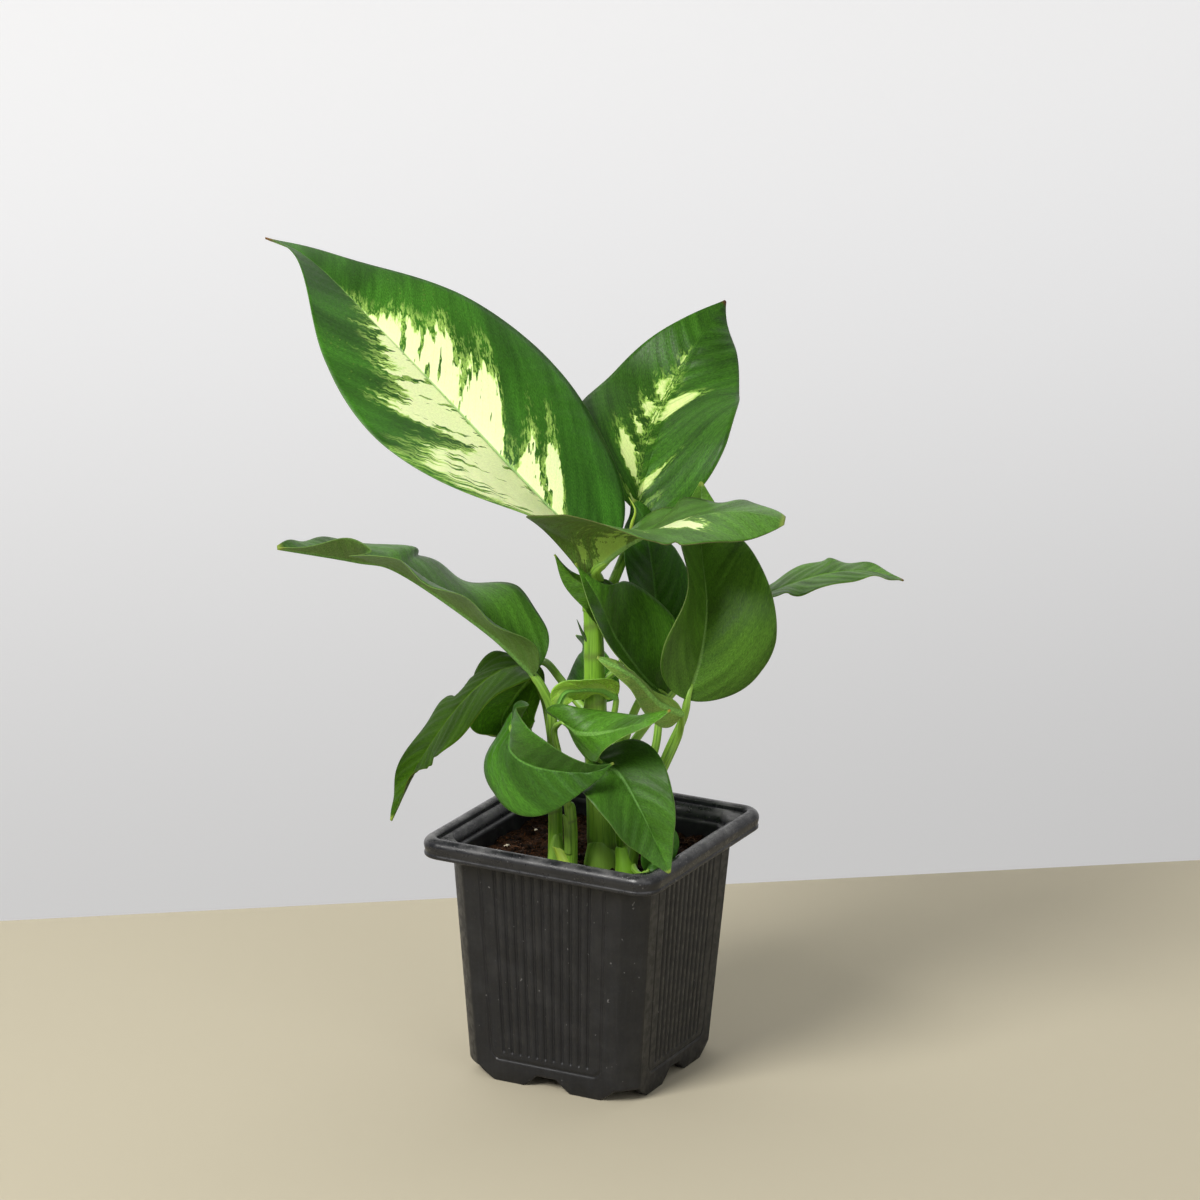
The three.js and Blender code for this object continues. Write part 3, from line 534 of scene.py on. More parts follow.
        "stalk": [[24, -14, 92], [28, -18, 90], [32, -21, 90]], "stalkRadius": [1.4, 1.1],
        "rib": [[35, -22, 92], [38, -19, 99], [40, -16, 105], [37, -15, 111]],
        "face": [31, 8], "width": 13, "widest": 0.45, "basePower": 2.2, "tipPower": 1.01, "lobe": 0,
        "roll": [0, -2, 0], "liftLeft": [20, 15, 10], "liftRight": [20, 12, 10],
        "curlLeft": [-12, -12, -8], "curlRight": [-12, -14, -8], "wave": [0.2, 2, 0, 0],
    },
}


# How each leaf is coloured. Cream lists say how far the variegation reaches from the rib, as
# (place along the rib, reach as a share of the half width), and creamGap keeps it off the rib.

leafTones = {
    "deep": (0.02, 0.08, 0.004),
    "light": (0.055, 0.185, 0.014),
    "under": (0.1, 0.19, 0.03),
    "rib": (0.1, 0.27, 0.045),
    "margin": (0.13, 0.24, 0.06),
    "cream": (0.82, 0.92, 0.47),
    "creamEdge": (0.5, 0.76, 0.16),
    "tip": (0.22, 0.3, 0.05),
    "shade": (1, 1, 1),  # multiplies the leaf's colours: partly its own tone, partly painted light and shade
    "shine": 0.2,
    "bites": [],  # torn places in the edge: side, place along the rib, depth and half length
    "veining": 0.36,  # how strongly the side veins and the bands between them show
    "blotches": 0.4,  # how ragged the cream's edge is
    "holes": 1,  # how many green flecks it keeps
    "creamGap": -0.1,
    "ribShift": 0,  # where the midrib lies across the blade
    "quilt": 0.16,  # how far the blade swells between side veins, mm
    "cloud": (0.68, 1.26),  # this and the next: darkest and lightest, as a share of its colour
    "grain": (0.62, 1.38),
    "roughness": (0.34, 0.5),
}

leafLooks = {
    "leaf_top_left": {
        "creamLeft": [
            (-0.3, 0.9), (0.02, 0.9), (0.08, 0.8), (0.15, 0.66), (0.2, 0.5), (0.23, 0.3), (0.28, 0.3),
            (0.31, 0.6), (0.36, 0.62),
            (0.39, 0.34), (0.46, 0.38), (0.55, 0.24), (0.62, 0.12), (0.67, 0.04), (0.74, -0.08), (1, -0.5),
        ],
        "creamRight": [
            (-0.3, -0.3), (0.05, -0.25), (0.07, 0.02), (0.085, 0.46), (0.125, 0.5), (0.135, 0.12),
            (0.15, 0.06), (0.16, 0.42),
            (0.195, 0.36), (0.21, 0.0), (0.255, -0.04),
            (0.27, 0.2), (0.29, 0.48), (0.33, 0.5), (0.36, 0.4), (0.4, 0.25), (0.43, 0.48), (0.47, 0.46),
            (0.52, 0.33),
            (0.58, 0.3), (0.62, 0.2), (0.66, 0.08), (0.72, 0.02), (0.78, -0.15), (1, -0.5),
        ],
        "tip": (0.2, 0.09, 0.02), "blotches": 0.34, "rib": (0.32, 0.5, 0.16), "shade": (0.86, 0.94, 0.92),
        "quilt": 0.42,
    },
    "leaf_top_right": {
        "creamLeft": [
            (-0.06, -0.2), (-0.03, 0.33), (0.02, 0.3), (0.04, -0.15), (0.08, -0.15), (0.1, 0.32),
            (0.18, 0.42), (0.205, 0.3),
            (0.22, -0.15), (0.24, -0.1), (0.26, 0.26), (0.3, 0.24), (0.315, -0.15), (0.33, -0.1),
            (0.35, 0.25),
            (0.42, 0.23), (0.44, -0.12), (0.455, -0.1), (0.48, 0.22), (0.54, 0.2), (0.56, 0.02),
            (0.66, 0.08), (0.72, -0.08),
            (1, -0.5),
        ],
        "creamRight": [
            (-0.1, 0.4), (-0.03, 0.38), (0.01, 0.26), (0.03, -0.1), (0.06, 0.3), (0.1, 0.42), (0.12, -0.1),
            (0.24, -0.15),
            (0.26, 0.12), (0.275, -0.15), (0.34, -0.1), (0.37, 0.4), (0.42, 0.45), (0.46, 0.34),
            (0.485, 0.02),
            (0.54, 0.06), (0.6, -0.06), (1, -0.5),
        ],
        "cream": (0.66, 0.8, 0.3), "creamEdge": (0.3, 0.52, 0.08), "shade": (0.76, 0.76, 0.62),
        "creamGap": 0.05, "holes": 0.2,
        "rib": (0.04, 0.15, 0.015), "ribShift": -0.14, "tip": (0.1, 0.03, 0.01), "blotches": 0.2,
        "veining": 0.7,
        "quilt": 0.24,
    },
    "leaf_front_arching": {
        "creamRight": [
            (-0.2, 0.3), (-0.05, 0.35), (-0.02, 0), (0.03, 0), (0.06, 0.4), (0.09, 0.05), (0.12, 0.5),
            (0.16, 0.1), (0.2, 0.45),
            (0.23, -0.1), (0.36, 0.05), (0.4, 0.42), (0.5, 0.45), (0.56, 0.1), (0.62, -0.2), (1, -0.5),
        ],
        "creamLeft": [(0, -0.2), (0.38, -0.2), (0.42, 0.1), (0.5, 0.12), (0.55, -0.2), (1, -0.5)],
        # painted sheen: this shade lightens the leaf and greys it, as light glancing off its top would
        "shade": (1.75, 1.3, 2), "blotches": 0.6, "holes": 0, "creamEdge": (0.36, 0.6, 0.1),
        "under": (0.045, 0.1, 0.012),
        "margin": (0.07, 0.05, 0.02),
        "bites": [(1, 0.57, 0.12, 0.016), (1, 0.5, 0.05, 0.03)],
    },
    "leaf_left_wavy": {"shade": (1.4, 1.12, 1.5), "quilt": 0.22, "veining": 0.5, "under": (0.08, 0.18, 0.03)},
    "leaf_left_drooping": {
        # painted shade: this shade darkens the leaf as if a shadow fell on it
        "shade": (0.68, 0.52, 0.28), "shine": 0.02, "veining": 0.6, "quilt": 0.24,
        "bites": [
            (-1, 0.6, 0.12, 0.02), (-1, 0.68, 0.14, 0.016), (-1, 0.75, 0.1, 0.02), (1, 0.42, 0.08, 0.03),
        ],
    },
    "leaf_left_shaded": {"shade": (2.8, 2.2, 1.8), "under": (0.035, 0.08, 0.015)},
    "leaf_young_curled": {
        "deep": (0.12, 0.25, 0.02), "light": (0.26, 0.44, 0.05), "under": (0.26, 0.42, 0.05),
        "creamRight": [(-0.2, 0.5), (0.3, 0.6), (0.7, 0.6), (1, 0.3)],
        "creamLeft": [(-0.2, 0.3), (0.5, 0.5), (1, 0.2)],
        "cream": (0.8, 0.9, 0.3), "creamEdge": (0.5, 0.76, 0.16), "blotches": 0.9,
        "shade": (1.6, 1.75, 1.7),
    },
    "leaf_young_right": {"shade": (1.9, 1.5, 1.8)},
    "leaf_front_drooping": {"shade": (1.2, 1, 1.3)},
    "leaf_front_small": {"shade": (1.65, 1.35, 1.5), "tip": (0.3, 0.22, 0.04)},
    "leaf_front_cupped": {"shade": (0.95, 0.92, 0.9), "quilt": 0.22},
    "leaf_right_upright": {"shade": (1.65, 1.18, 1.45), "under": (0.06, 0.12, 0.025)},
    "leaf_centre_folded": {"shade": (1.45, 1.2, 1.25)},
    "leaf_centre_dark": {"shade": (1.2, 0.9, 0.9)},
    "leaf_far_right": {"shade": (1.8, 1.4, 1.3), "tip": (0.25, 0.12, 0.03), "veining": 0.9},
}


blade = {
    "thickness": 0.62,
    "edgeThickness": 0.3,
    "ribRaise": 1.0,  # below the blade, at its base
    "ribWidth": 2.6,
    "ribThinning": 0.85,  # how much of the rib is gone at the tip
    "channel": 0.3,  # above the blade
    "tipEnd": 0.985,  # how much of the rib the blade covers
    "narrowest": 0.5,  # half width at its ends
    "lobeEnd": 0.35,  # how far along the blade the lobes reach
    "rows": 96,
    "rowBend": 1.2,  # draws the rows together towards the base
    "columns": 13,  # on each side, outside the rib
    "columnBend": 0.92,
    "columnStart": 1.6,  # in half widths of the rib
    "ribColumns": (0.25, 0.6, 1),
    "veinLean": 0.75,  # how far the side veins run on towards the tip on their way out
    "veinCurve": 0.6,
    "quiltPitch": 7.5,
}


def faceVector(angles):
    a, e = (math.radians(x) for x in angles)
    return np.array([math.sin(a) * math.cos(e), -math.cos(a) * math.cos(e), math.sin(e)])


def outline(leaf, t):
    widest = leaf["widest"]
    low = np.clip((widest - t) / widest, 0, 1)
    high = np.clip((t - widest) / (1 - widest), 0, 1)
    base = np.sqrt(np.clip(1 - low ** leaf["basePower"], 0, 1))
    tip = np.cos(0.5 * math.pi * high) ** leaf["tipPower"]
    return np.where(t < widest, base, tip)


def bladeSurface(leaf, t, u, bites=()):
    share, length = evenShare(leaf["rib"], t)
    centre = curvePoint(leaf["rib"], share)
    along = curveTangent(leaf["rib"], share)
    face = faceVector(leaf["face"])
    up = face - (along @ face)[:, None] * along
    up /= np.linalg.norm(up, axis=1)[:, None]
    right = np.cross(along, up)
    roll = np.radians(through(leaf["roll"], t))[:, None]
    up, right = up * np.cos(roll) - right * np.sin(roll), right * np.cos(roll) + up * np.sin(roll)
    half = leaf["width"] / 2
    reach = np.maximum(half * outline(leaf, t), blade["narrowest"])
    across, down = np.meshgrid(u, t)
    left = across < 0
    share = np.abs(across)
    whole = np.ones_like(across)
    for side, place, depth, size in bites:
        whole -= np.where(across * side > 0, depth * np.exp(-(((down - place) / size) ** 2)), 0)
    distance = share * reach[:, None] * whole
    lift, curl = (
        np.radians(np.where(left, through(leaf[fold + "Left"], down), through(leaf[fold + "Right"], down)))
        for fold in ("lift", "curl")
    )
    turn = curl * distance / half
    turn = np.where(np.abs(turn) < 1e-4, 1e-4, turn)
    sideways = distance * (np.sin(lift + turn) - np.sin(lift)) / turn
    rise = distance * (np.cos(lift) - np.cos(lift + turn)) / turn
    amplitude, count, phaseLeft, phaseRight = leaf["wave"]
    phase = np.radians(np.where(left, phaseLeft, phaseRight))
    ends = np.minimum(1, 6 * down * (1 - down))  # quiets the waves at both ends
    rise += amplitude * np.sin(2 * math.pi * count * down + phase) * share**2 * ends
    back = leaf["lobe"] * share**2 * np.maximum(0, 1 - down / blade["lobeEnd"]) ** 2
    surface = (
        centre[:, None]
        + right[:, None] * (np.sign(across) * sideways)[..., None]
        + up[:, None] * rise[..., None]
        - along[:, None] * back[..., None]
    )
    return surface, down * length - back, reach


def surfaceNormals(surface):
    normal = np.cross(np.gradient(surface, axis=1), np.gradient(surface, axis=0))
    return normal / np.maximum(np.linalg.norm(normal, axis=2), 1e-9)[..., None]


def makeBlade(leaf, look, seed):
    ribHalf = blade["ribWidth"] / leaf["width"]
    outer = np.linspace(ribHalf * blade["columnStart"], 1, blade["columns"]) ** blade["columnBend"]
    outer[-1] = 1
    inner = ribHalf * np.array(blade["ribColumns"])
    columns = np.r_[-outer[::-1], -inner[::-1], 0, inner, outer]
    t = blade["tipEnd"] * np.linspace(0, 1, blade["rows"]) ** blade["rowBend"]
    surface, along, reach = bladeSurface(leaf, t, columns, look["bites"])
    normal = surfaceNormals(surface)
    half = leaf["width"] / 2
    across = np.tile(columns, (len(t), 1))
    across -= look["ribShift"] * (1 - np.abs(across))
    share = np.abs(across)
    distance = share * reach[:, None]
    lean = distance / half
    vein = along - half * (blade["veinLean"] * lean + blade["veinCurve"] * lean**2)
    fade = np.minimum(1, 5 * (1 - t))[:, None] * np.minimum(1, 8 * share) * (1 - share**6)
    ripple = look["quilt"] * np.sin(2 * math.pi * vein / blade["quiltPitch"] + seed) * fade
    ribFade = (1 - blade["ribThinning"] * t)[:, None]
    ribProfile = np.sqrt(np.clip(1 - (distance / (0.5 * blade["ribWidth"] * ribFade)) ** 2, 0, 1))
    thick = blade["edgeThickness"] + (blade["thickness"] - blade["edgeThickness"]) * (1 - share**2)
    top = surface + normal * (thick / 2 + ripple - blade["channel"] * ribProfile * ribFade)[..., None]
    under = surface + normal * (-thick / 2 + ripple - blade["ribRaise"] * ribProfile * ribFade)[..., None]
    points = np.concatenate([top.reshape(-1, 3), under.reshape(-1, 3)])
    side = np.where(across < 0, 0.0, 5.0) + seed  # keeps the patterns of the two sides apart
    place = np.stack([across, np.tile(t[:, None], (1, len(columns))), np.zeros_like(across)], -1)
    veins = np.stack([vein / 10, distance / 10, side], -1)
    reachLeft, reachRight = (
        np.interp(vein / along.max(), *zip(*look[key])) if key in look else np.full_like(vein, -1.0)
        for key in ("creamLeft", "creamRight")
    )
    field = np.minimum(np.where(across < 0, reachLeft, reachRight) - share, share - look["creamGap"])
    lower = place.copy()
    lower[..., 2] = 1
    values = {
        "bladeAt": np.concatenate([place.reshape(-1, 3), lower.reshape(-1, 3)]),
        "veinAt": np.concatenate([veins.reshape(-1, 3)] * 2),
        "creamAt": np.concatenate([field.ravel()] * 2),
        "ribAt": np.concatenate([distance.ravel()] * 2),
    }
    return points, sheetFaces(*across.shape), values


def bentTube(path, sides, steps, size):
    share, length = evenShare(path, np.linspace(0, 1, steps + 1))
    centres = curvePoint(path, share)
    tangents = curveTangent(path, share)
    ahead = np.cross(tangents[0], [0, 1, 0.2])
    normals = []
    for tangent in tangents:
        ahead = ahead - tangent * (ahead @ tangent)
        ahead = ahead / np.linalg.norm(ahead)
        normals.append(ahead)
    normals = np.array(normals)
    sideways = np.cross(tangents, normals)
    angles = np.linspace(0, 2 * math.pi, sides, endpoint=False)
    t, angle = np.meshgrid(np.linspace(0, 1, steps + 1), angles, indexing="ij")
    radius = size(t, angle)
    points = (
        centres[:, None]
        + normals[:, None] * (np.cos(angle) * radius)[..., None]
        + sideways[:, None] * (np.sin(angle) * radius)[..., None]
    )
    at = np.stack([t * length / 10, np.cos(angle), np.sin(angle)], -1)
    return points.reshape(-1, 3), tubeFaces(steps + 1, sides), at.reshape(-1, 3)


stalk = {
    "sides": 20,
    "steps": 10,  # for each point of its path
    "onward": 0.1,  # how far it runs on under the blade, as a share of the blade's width
    "slim": 0.93,  # of the frame's radius
    "blendStart": 0.86,
    "blend": 0.55,  # how much it thins on its way into the rib
    "ridges": ((3, 0.05), (5, 0.04)),  # how many, and how deep as a share of the radius
}


def makeStalk(leaf):
    rib = np.array(leaf["rib"], float)
    onward = rib[1] - rib[0]
    onward *= stalk["onward"] * leaf["width"] / np.linalg.norm(onward)
    path = [*leaf["stalk"], leaf["rib"][0], (rib[0] + onward).tolist()]
    first, last = leaf["stalkRadius"]

    def size(t, angle):
        taper = first + (last - first) * t
        blend = 1 - stalk["blend"] * np.clip((t - stalk["blendStart"]) / (1 - stalk["blendStart"]), 0, 1)
        ridges = sum(depth * np.cos(count * angle) for count, depth in stalk["ridges"])
        return stalk["slim"] * taper * blend * (1 - ridges)

    return bentTube(path, stalk["sides"], stalk["steps"] * len(path), size)


fleshyLeaf = {"Subsurface_Weight": 0.12, "Subsurface_Radius": (0.5, 1.0, 0.25), "Subsurface_Scale": 0.001}


def makeBladeMaterial(name, look):
    shaded, plain = ("deep", "light", "under", "rib", "margin"), ("cream", "creamEdge", "tip")
    # shade paints light and shade into these colours, beside the leaf's own tone
    colour = {key: (*np.minimum(np.multiply(look[key], look["shade"]), 0.92), 1) for key in shaded}
    colour.update({key: (*look[key], 1) for key in plain})
    strength = look["veining"]
    material, tree, shader = newMaterial(name, Specular_IOR_Level=look["shine"], **fleshyLeaf)
    vein = attributeAt(tree, "veinAt", "Vector")
    place = attributeAt(tree, "bladeAt", "Vector")
    across, along, below = addNode(tree, "ShaderNodeSeparateXYZ", (place,)).outputs
    share = sums(tree, "ABSOLUTE", across)
    rib = attributeAt(tree, "ribAt")
    veins = placeGroup(tree, veinGroup, Vein=vein)
    field = attributeAt(tree, "creamAt")
    cream = placeGroup(tree, creamGroup, Vein=vein, Field=field, Ragged=look["blotches"], Holes=look["holes"])
    bands = ease(tree, veins["Bands"], 0.3, 0.7, 0.5 - 0.5 * strength, 0.5 + 0.5 * strength)
    green = mixColour(tree, bands, colour["deep"], colour["light"])
    for mask in (
        ease(tree, veins["Streaks"], 0.42, 0.75, 0, 0.5 * strength),
        ease(tree, veins["Mottle"], 0.35, 0.7, 0, 0.32),
    ):
        green = mixColour(tree, mask, green, colour["light"])
    green = mixColour(tree, 1.0, green, ease(tree, veins["Cloud"], 0.32, 0.68, *look["cloud"]), "MULTIPLY")
    green = mixColour(tree, times(tree, veins["Lines"], 0.5 * strength), green, colour["deep"])
    spatter = mixColour(tree, times(tree, cream["Spatter"], 0.5), green, colour["creamEdge"])
    pale = mixColour(tree, cream["Depth"], colour["creamEdge"], colour["cream"])
    pale = mixColour(tree, times(tree, veins["Lines"], 0.15), pale, colour["creamEdge"])
    face = mixColour(tree, cream["Mask"], spatter, pale)
    ribMask = ease(tree, sums(tree, "DIVIDE", rib, ease(tree, along, 0, 1, 1.1, 0.35)), 1.0, 0.55)
    ribFade = times(tree, ribMask, ease(tree, along, 0.98, 0.3, 0.15, 0.85))
    face = mixColour(tree, ribFade, face, colour["rib"])
    olive = mixColour(tree, ease(tree, veins["Streaks"], 0.3, 0.7, 0, 0.5), colour["under"], colour["light"])
    glow = times(tree, sums(tree, "MAXIMUM", cream["Mask"], cream["Spatter"]), 0.6)
    olive = mixColour(tree, glow, olive, colour["creamEdge"])
    olive = mixColour(tree, ease(tree, rib, 1.6, 1.0, 0, 0.8), olive, colour["rib"])
    both = mixColour(tree, below, face, olive)
    grainy = ease(tree, cream["Mask"], 0, 1, 0.9, 0.25)
    both = mixColour(tree, grainy, both, ease(tree, veins["Grain"], 0.3, 0.7, *look["grain"]), "MULTIPLY")
    both = mixColour(tree, ease(tree, share, 0.986, 0.998, 0, 0.5), both, colour["margin"])
    both = mixColour(tree, ease(tree, along, 0.955, 0.98), both, colour["tip"])
    feed(tree, shader.inputs["Base Color"], both)
    rough = ease(tree, veins["Mottle"], 0.3, 0.7, *look["roughness"])
    feed(tree, shader.inputs["Roughness"], sums(tree, "MULTIPLY_ADD", below, 0.16, rough))
    height = sums(tree, "MULTIPLY_ADD", veins["Streaks"], 0.7, times(tree, veins["Mottle"], 0.4))
    addBump(tree, shader, sums(tree, "MULTIPLY_ADD", veins["Grain"], 0.15, height), 0.2, 0.6)
    return material


stemTones = {
    "stalk": {"deep": (0.08, 0.2, 0.015), "light": (0.26, 0.48, 0.06), "scar": (0.2, 0.22, 0.06)},
    "stem": {"deep": (0.07, 0.19, 0.012), "light": (0.23, 0.46, 0.04), "scar": (0.12, 0.2, 0.03)},
    # painted shade: a darker copy of the stem's tones for a stem that stands in shade
    "shaded": {"deep": (0.035, 0.1, 0.005), "light": (0.12, 0.26, 0.018), "scar": (0.07, 0.12, 0.02)},
    "sheath": {"deep": (0.16, 0.28, 0.015), "light": (0.42, 0.6, 0.07), "scar": (0.3, 0.2, 0.05)},
    "dark": {"deep": (0.02, 0.045, 0.015), "light": (0.05, 0.1, 0.03), "scar": (0.1, 0.08, 0.04)},
    "bright": {"deep": (0.1, 0.26, 0.012), "light": (0.22, 0.48, 0.03), "scar": (0.2, 0.22, 0.06)},
}


fleshyStem = {"Subsurface_Weight": 0.1, "Subsurface_Radius": (0.6, 1.0, 0.3), "Subsurface_Scale": 0.0015}


def makeStemMaterial(name):
    tones = {key: (*value, 1) for key, value in stemTones[name].items()}
    material, tree, shader = newMaterial(name, Specular_IOR_Level=0.45, **fleshyStem)
    at = attributeAt(tree, "stemAt", "Vector")
    streak = grainAt(tree, at, (0.4, 3, 3), detail=3)
    cloud = grainAt(tree, at, (1.1, 1.2, 1.2), detail=2, shift=7)
    fleck = grainAt(tree, at, (9, 14, 14), detail=2, shift=3)
    green = mixColour(tree, ease(tree, streak, 0.25, 0.6), tones["deep"], tones["light"])
    green = mixColour(tree, ease(tree, cloud, 0.4, 0.7, 0, 0.5), green, tones["light"])
    scar = times(tree, attributeAt(tree, "scarAt"), ease(tree, fleck, 0.3, 0.6, 0.5, 1))
    feed(tree, shader.inputs["Base Color"], mixColour(tree, scar, green, tones["scar"]))
    feed(tree, shader.inputs["Roughness"], ease(tree, fleck, 0.3, 0.7, 0.34, 0.5))
    addBump(tree, shader, sums(tree, "ADD", streak, times(tree, fleck, 0.3)), 0.12, 0.4)
    return material


youngLeaves = ("leaf_young_curled", "leaf_young_right")


def makeLeaves(stalkMaterial):
    for index, (name, leaf) in enumerate(leafShapes.items()):
        look = {**leafTones, **leafLooks.get(name, {})}
        points, faces, values = makeBlade(leaf, look, 1.7 * index)
        stalkPoints, stalkFaces, stalkAt = makeStalk(leaf)
        size, extra = len(points), len(stalkPoints)
        padded = {key: np.concatenate([v, np.zeros((extra, *v.shape[1:]))]) for key, v in values.items()}
        padded["stemAt"] = np.concatenate([np.zeros((size, 3)), stalkAt])
        padded["scarAt"] = np.zeros(size + extra)
        makePiece(
            "fine_" + name,
            *gather([(points, faces), (stalkPoints, stalkFaces)]),
            [makeBladeMaterial(name.replace("leaf", "blade"), look), stalkMaterial],
            node=name,
            slot="young_leaf" if name in youngLeaves else "leaf",
            faceMaterial=[0] * len(faces) + [1] * len(stalkFaces),
            values=padded,
        )
    print("leaves made:", len(leafShapes))


# Stems

stemShapes = {
    "cane_main": {
        "path": [
            [9, -9, 67], [9, -9, 87], [8, -10, 113], [6, -10, 138],
            [5, -10, 162], [4, -10, 186], [3, -11, 197],
        ],
        "radius": (6.6, 3.6), "rings": 7, "steps": 140,
    },
    "stem_left": {
        "path": [[-6, -20, 67], [-6, -20, 88], [-7, -19, 109], [-8, -19, 122]],
        "radius": (3.4, 2.7), "rings": 2,
    },
    "stem_front": {
        "path": [[3, -24, 67], [3, -24, 88], [3, -24, 104], [2, -24, 116]],
        "radius": (2.8, 2.2), "rings": 2,
    },
    "stem_right": {
        "path": [[23, -15, 67], [23, -15, 87], [24, -12, 102], [25, -10, 114]],
        # painted shade: this stem takes the darker shaded tones
        "radius": (4.2, 3.2), "rings": 2, "finish": "shaded",
    },
    "stem_back": {
        "path": [[8, 9, 67], [8, 9, 87], [7, 9, 116], [7, 9, 134]],
        "radius": (4, 3), "rings": 3,
    },
}

stemForm = {
    "sides": 36,
    "steps": 70,
    "finish": "stem",
    "ringWidth": 0.012,  # along the stem, as a share of its length
    "ringHeight": 0.035,  # this and the next two are shares of the radius
    "slim": 0.95,
    "ridge": 0.012,
    "domeStart": 0.94,
    "domeLength": 0.0605,
}


def makeStems(finishes):
    draw = random.Random(5)
    for name, shape in stemShapes.items():
        stem = {**stemForm, **shape}
        first, last = stem["radius"]
        places = [(k + draw.uniform(0.3, 0.7)) / stem["rings"] for k in range(stem["rings"])]
        tilts = [draw.uniform(-0.02, 0.02) for _ in places]

        def ringAt(t, angle):
            total = np.zeros_like(t)
            for place, tilt in zip(places, tilts):
                total += np.exp(-(((t - place - tilt * np.cos(angle)) / stem["ringWidth"]) ** 2))
            return total

        def size(t, angle):
            taper = first + (last - first) * t
            closing = np.maximum(t - stem["domeStart"], 0) / stem["domeLength"]
            dome = np.sqrt(np.clip(1 - closing**2, 0.002, 1))
            rough = stem["ringHeight"] * ringAt(t, angle) + stem["ridge"] * np.cos(7 * angle + 9 * t)
            return dome * taper * (stem["slim"] + rough)

        steps, sides = stem["steps"], stem["sides"]
        points, faces, at = bentTube(stem["path"], sides, steps, size)
        t = np.repeat(np.linspace(0, 1, steps + 1), sides)
        angle = np.tile(np.linspace(0, 2 * math.pi, sides, endpoint=False), steps + 1)
        wide = np.array([1, first / 3, first / 3])
        values = {"stemAt": at * wide, "scarAt": np.clip(ringAt(t, angle), 0, 1)}
        finish = finishes[stem["finish"]]
        makePiece("fine_" + name, points, faces, [finish], node=name, slot="stem", values=values)
    print("stems made:", len(stemShapes))


# Papery sheaths clasping the stems, and the small spikes that old stalks leave

sheathShapes = {
    "sheath_split": {
        "path": [[3, -24, 86], [1.2, -23.8, 91], [-2.4, -23, 97]], "radius": (4.3, 3),
        "facing": -100, "span": 210, "flare": 0.5, "tuck": 0, "finish": "sheath",
    },
    "sheath_left": {
        "path": [[-6, -20, 86], [-6, -20, 93], [-6.3, -19.8, 101]], "radius": (4.4, 3),
        "facing": -40, "span": 230, "flare": 0, "tuck": 1.2, "finish": "stalk",
    },
    "sheath_thin": {
        "path": [[3, -24, 95], [2.6, -24, 103], [1.6, -23.6, 111]], "radius": (2.9, 2.5),
        "facing": -120, "span": 120, "flare": 0.4, "tuck": 0.3, "finish": "stalk",
    },
    "sheath_cane": {
        "path": [[9, -9, 86], [8.8, -9.2, 92], [8.4, -9.6, 98]], "radius": (7.7, 5.7),
        "facing": -75, "span": 270, "flare": 0, "tuck": 1.7, "finish": "stalk",
    },
    "sheath_right": {
        "path": [[23, -15, 86], [22.4, -14.9, 91], [20.6, -14.4, 98.5]], "radius": (5, 3.4),
        "facing": -85, "span": 260, "flare": 0.3, "tuck": 0.8, "finish": "bright",
    },
}

sheathForm = {
    "rows": 26,
    "columns": 22,
    "end": 0.985,
    "thickness": 0.4,
    "narrowing": (1.6, 0.6),  # powers by which the span falls to nearly nothing at the top
    "twist": 0.35,
    "ripple": 0.1,
}

spikeShapes = {
    "spike_left": {"path": [[-8.4, -19, 127], [-9.8, -20, 132], [-12, -20.6, 138.5]], "finish": "dark"},
    "spike_cane": {"path": [[4.4, -11.6, 176], [1.6, -13.6, 181], [-0.8, -14.6, 187]], "finish": "dark"},
    "spike_top": {"path": [[4, 19, 209], [6, 18, 218], [7.5, 18, 224], [4.5, 18, 229]], "finish": "sheath"},
}

spikeForm = {"sides": 10, "steps": 16, "radius": 1.0, "tipRadius": 0.06, "taper": 0.8}


def spikeSize(t, angle):
    return spikeForm["radius"] * (1 - t) ** spikeForm["taper"] + spikeForm["tipRadius"]


def sheathPoints(sheath, t, centres):
    first, last = sheath["radius"]
    shape, power = sheathForm["narrowing"]
    points = []
    for thick in (0.0, -sheathForm["thickness"]):
        for height, centre in zip(t, centres):
            reach = 0.5 * math.radians(sheath["span"]) * (1 - height**shape) ** power
            for angle in np.linspace(-reach, reach, sheathForm["columns"]):
                lean = sheathForm["twist"] * angle / max(reach, 0.2) * height
                ripple = sheathForm["ripple"] * math.sin(5 * angle + 7 * height) * (1 - height)
                flare = sheath["flare"] * height**4 + ripple
                tuck = sheath["tuck"] * abs(angle / reach) ** 3
                radius = first + (last - first) * height + flare + thick - tuck
                turn = math.radians(sheath["facing"]) + angle + lean
                points.append(centre + radius * np.array([math.cos(turn), math.sin(turn), 0]))
    return points


def makeSheaths(finishes):
    rows, columns = sheathForm["rows"], sheathForm["columns"]
    for name, sheath in sheathShapes.items():
        t = np.linspace(0, sheathForm["end"], rows)
        share, length = evenShare(sheath["path"], t)
        points = sheathPoints(sheath, t, curvePoint(sheath["path"], share))
        place = [[length * k / rows / 10, c / columns * 2, 0] for k in range(rows) for c in range(columns)]
        values = {"stemAt": np.array(place * 2), "scarAt": np.zeros(len(points))}
        finish = finishes[sheath["finish"]]
        makePiece(name, points, sheetFaces(rows, columns), [finish], slot="stem", values=values)
    for name, spike in spikeShapes.items():
        points, faces, at = bentTube(spike["path"], spikeForm["sides"], spikeForm["steps"], spikeSize)
        values = {"stemAt": at, "scarAt": np.zeros(len(points))}
        makePiece(name, points, faces, [finishes[spike["finish"]]], slot="stem", values=values)
    print("sheaths made:", len(sheathShapes))


# Pot. bodyHalf, footScale, chamfer, openingHalf, rimDepth and floor come from the same fit as the
# camera, rounded, with the height set to 100 mm.

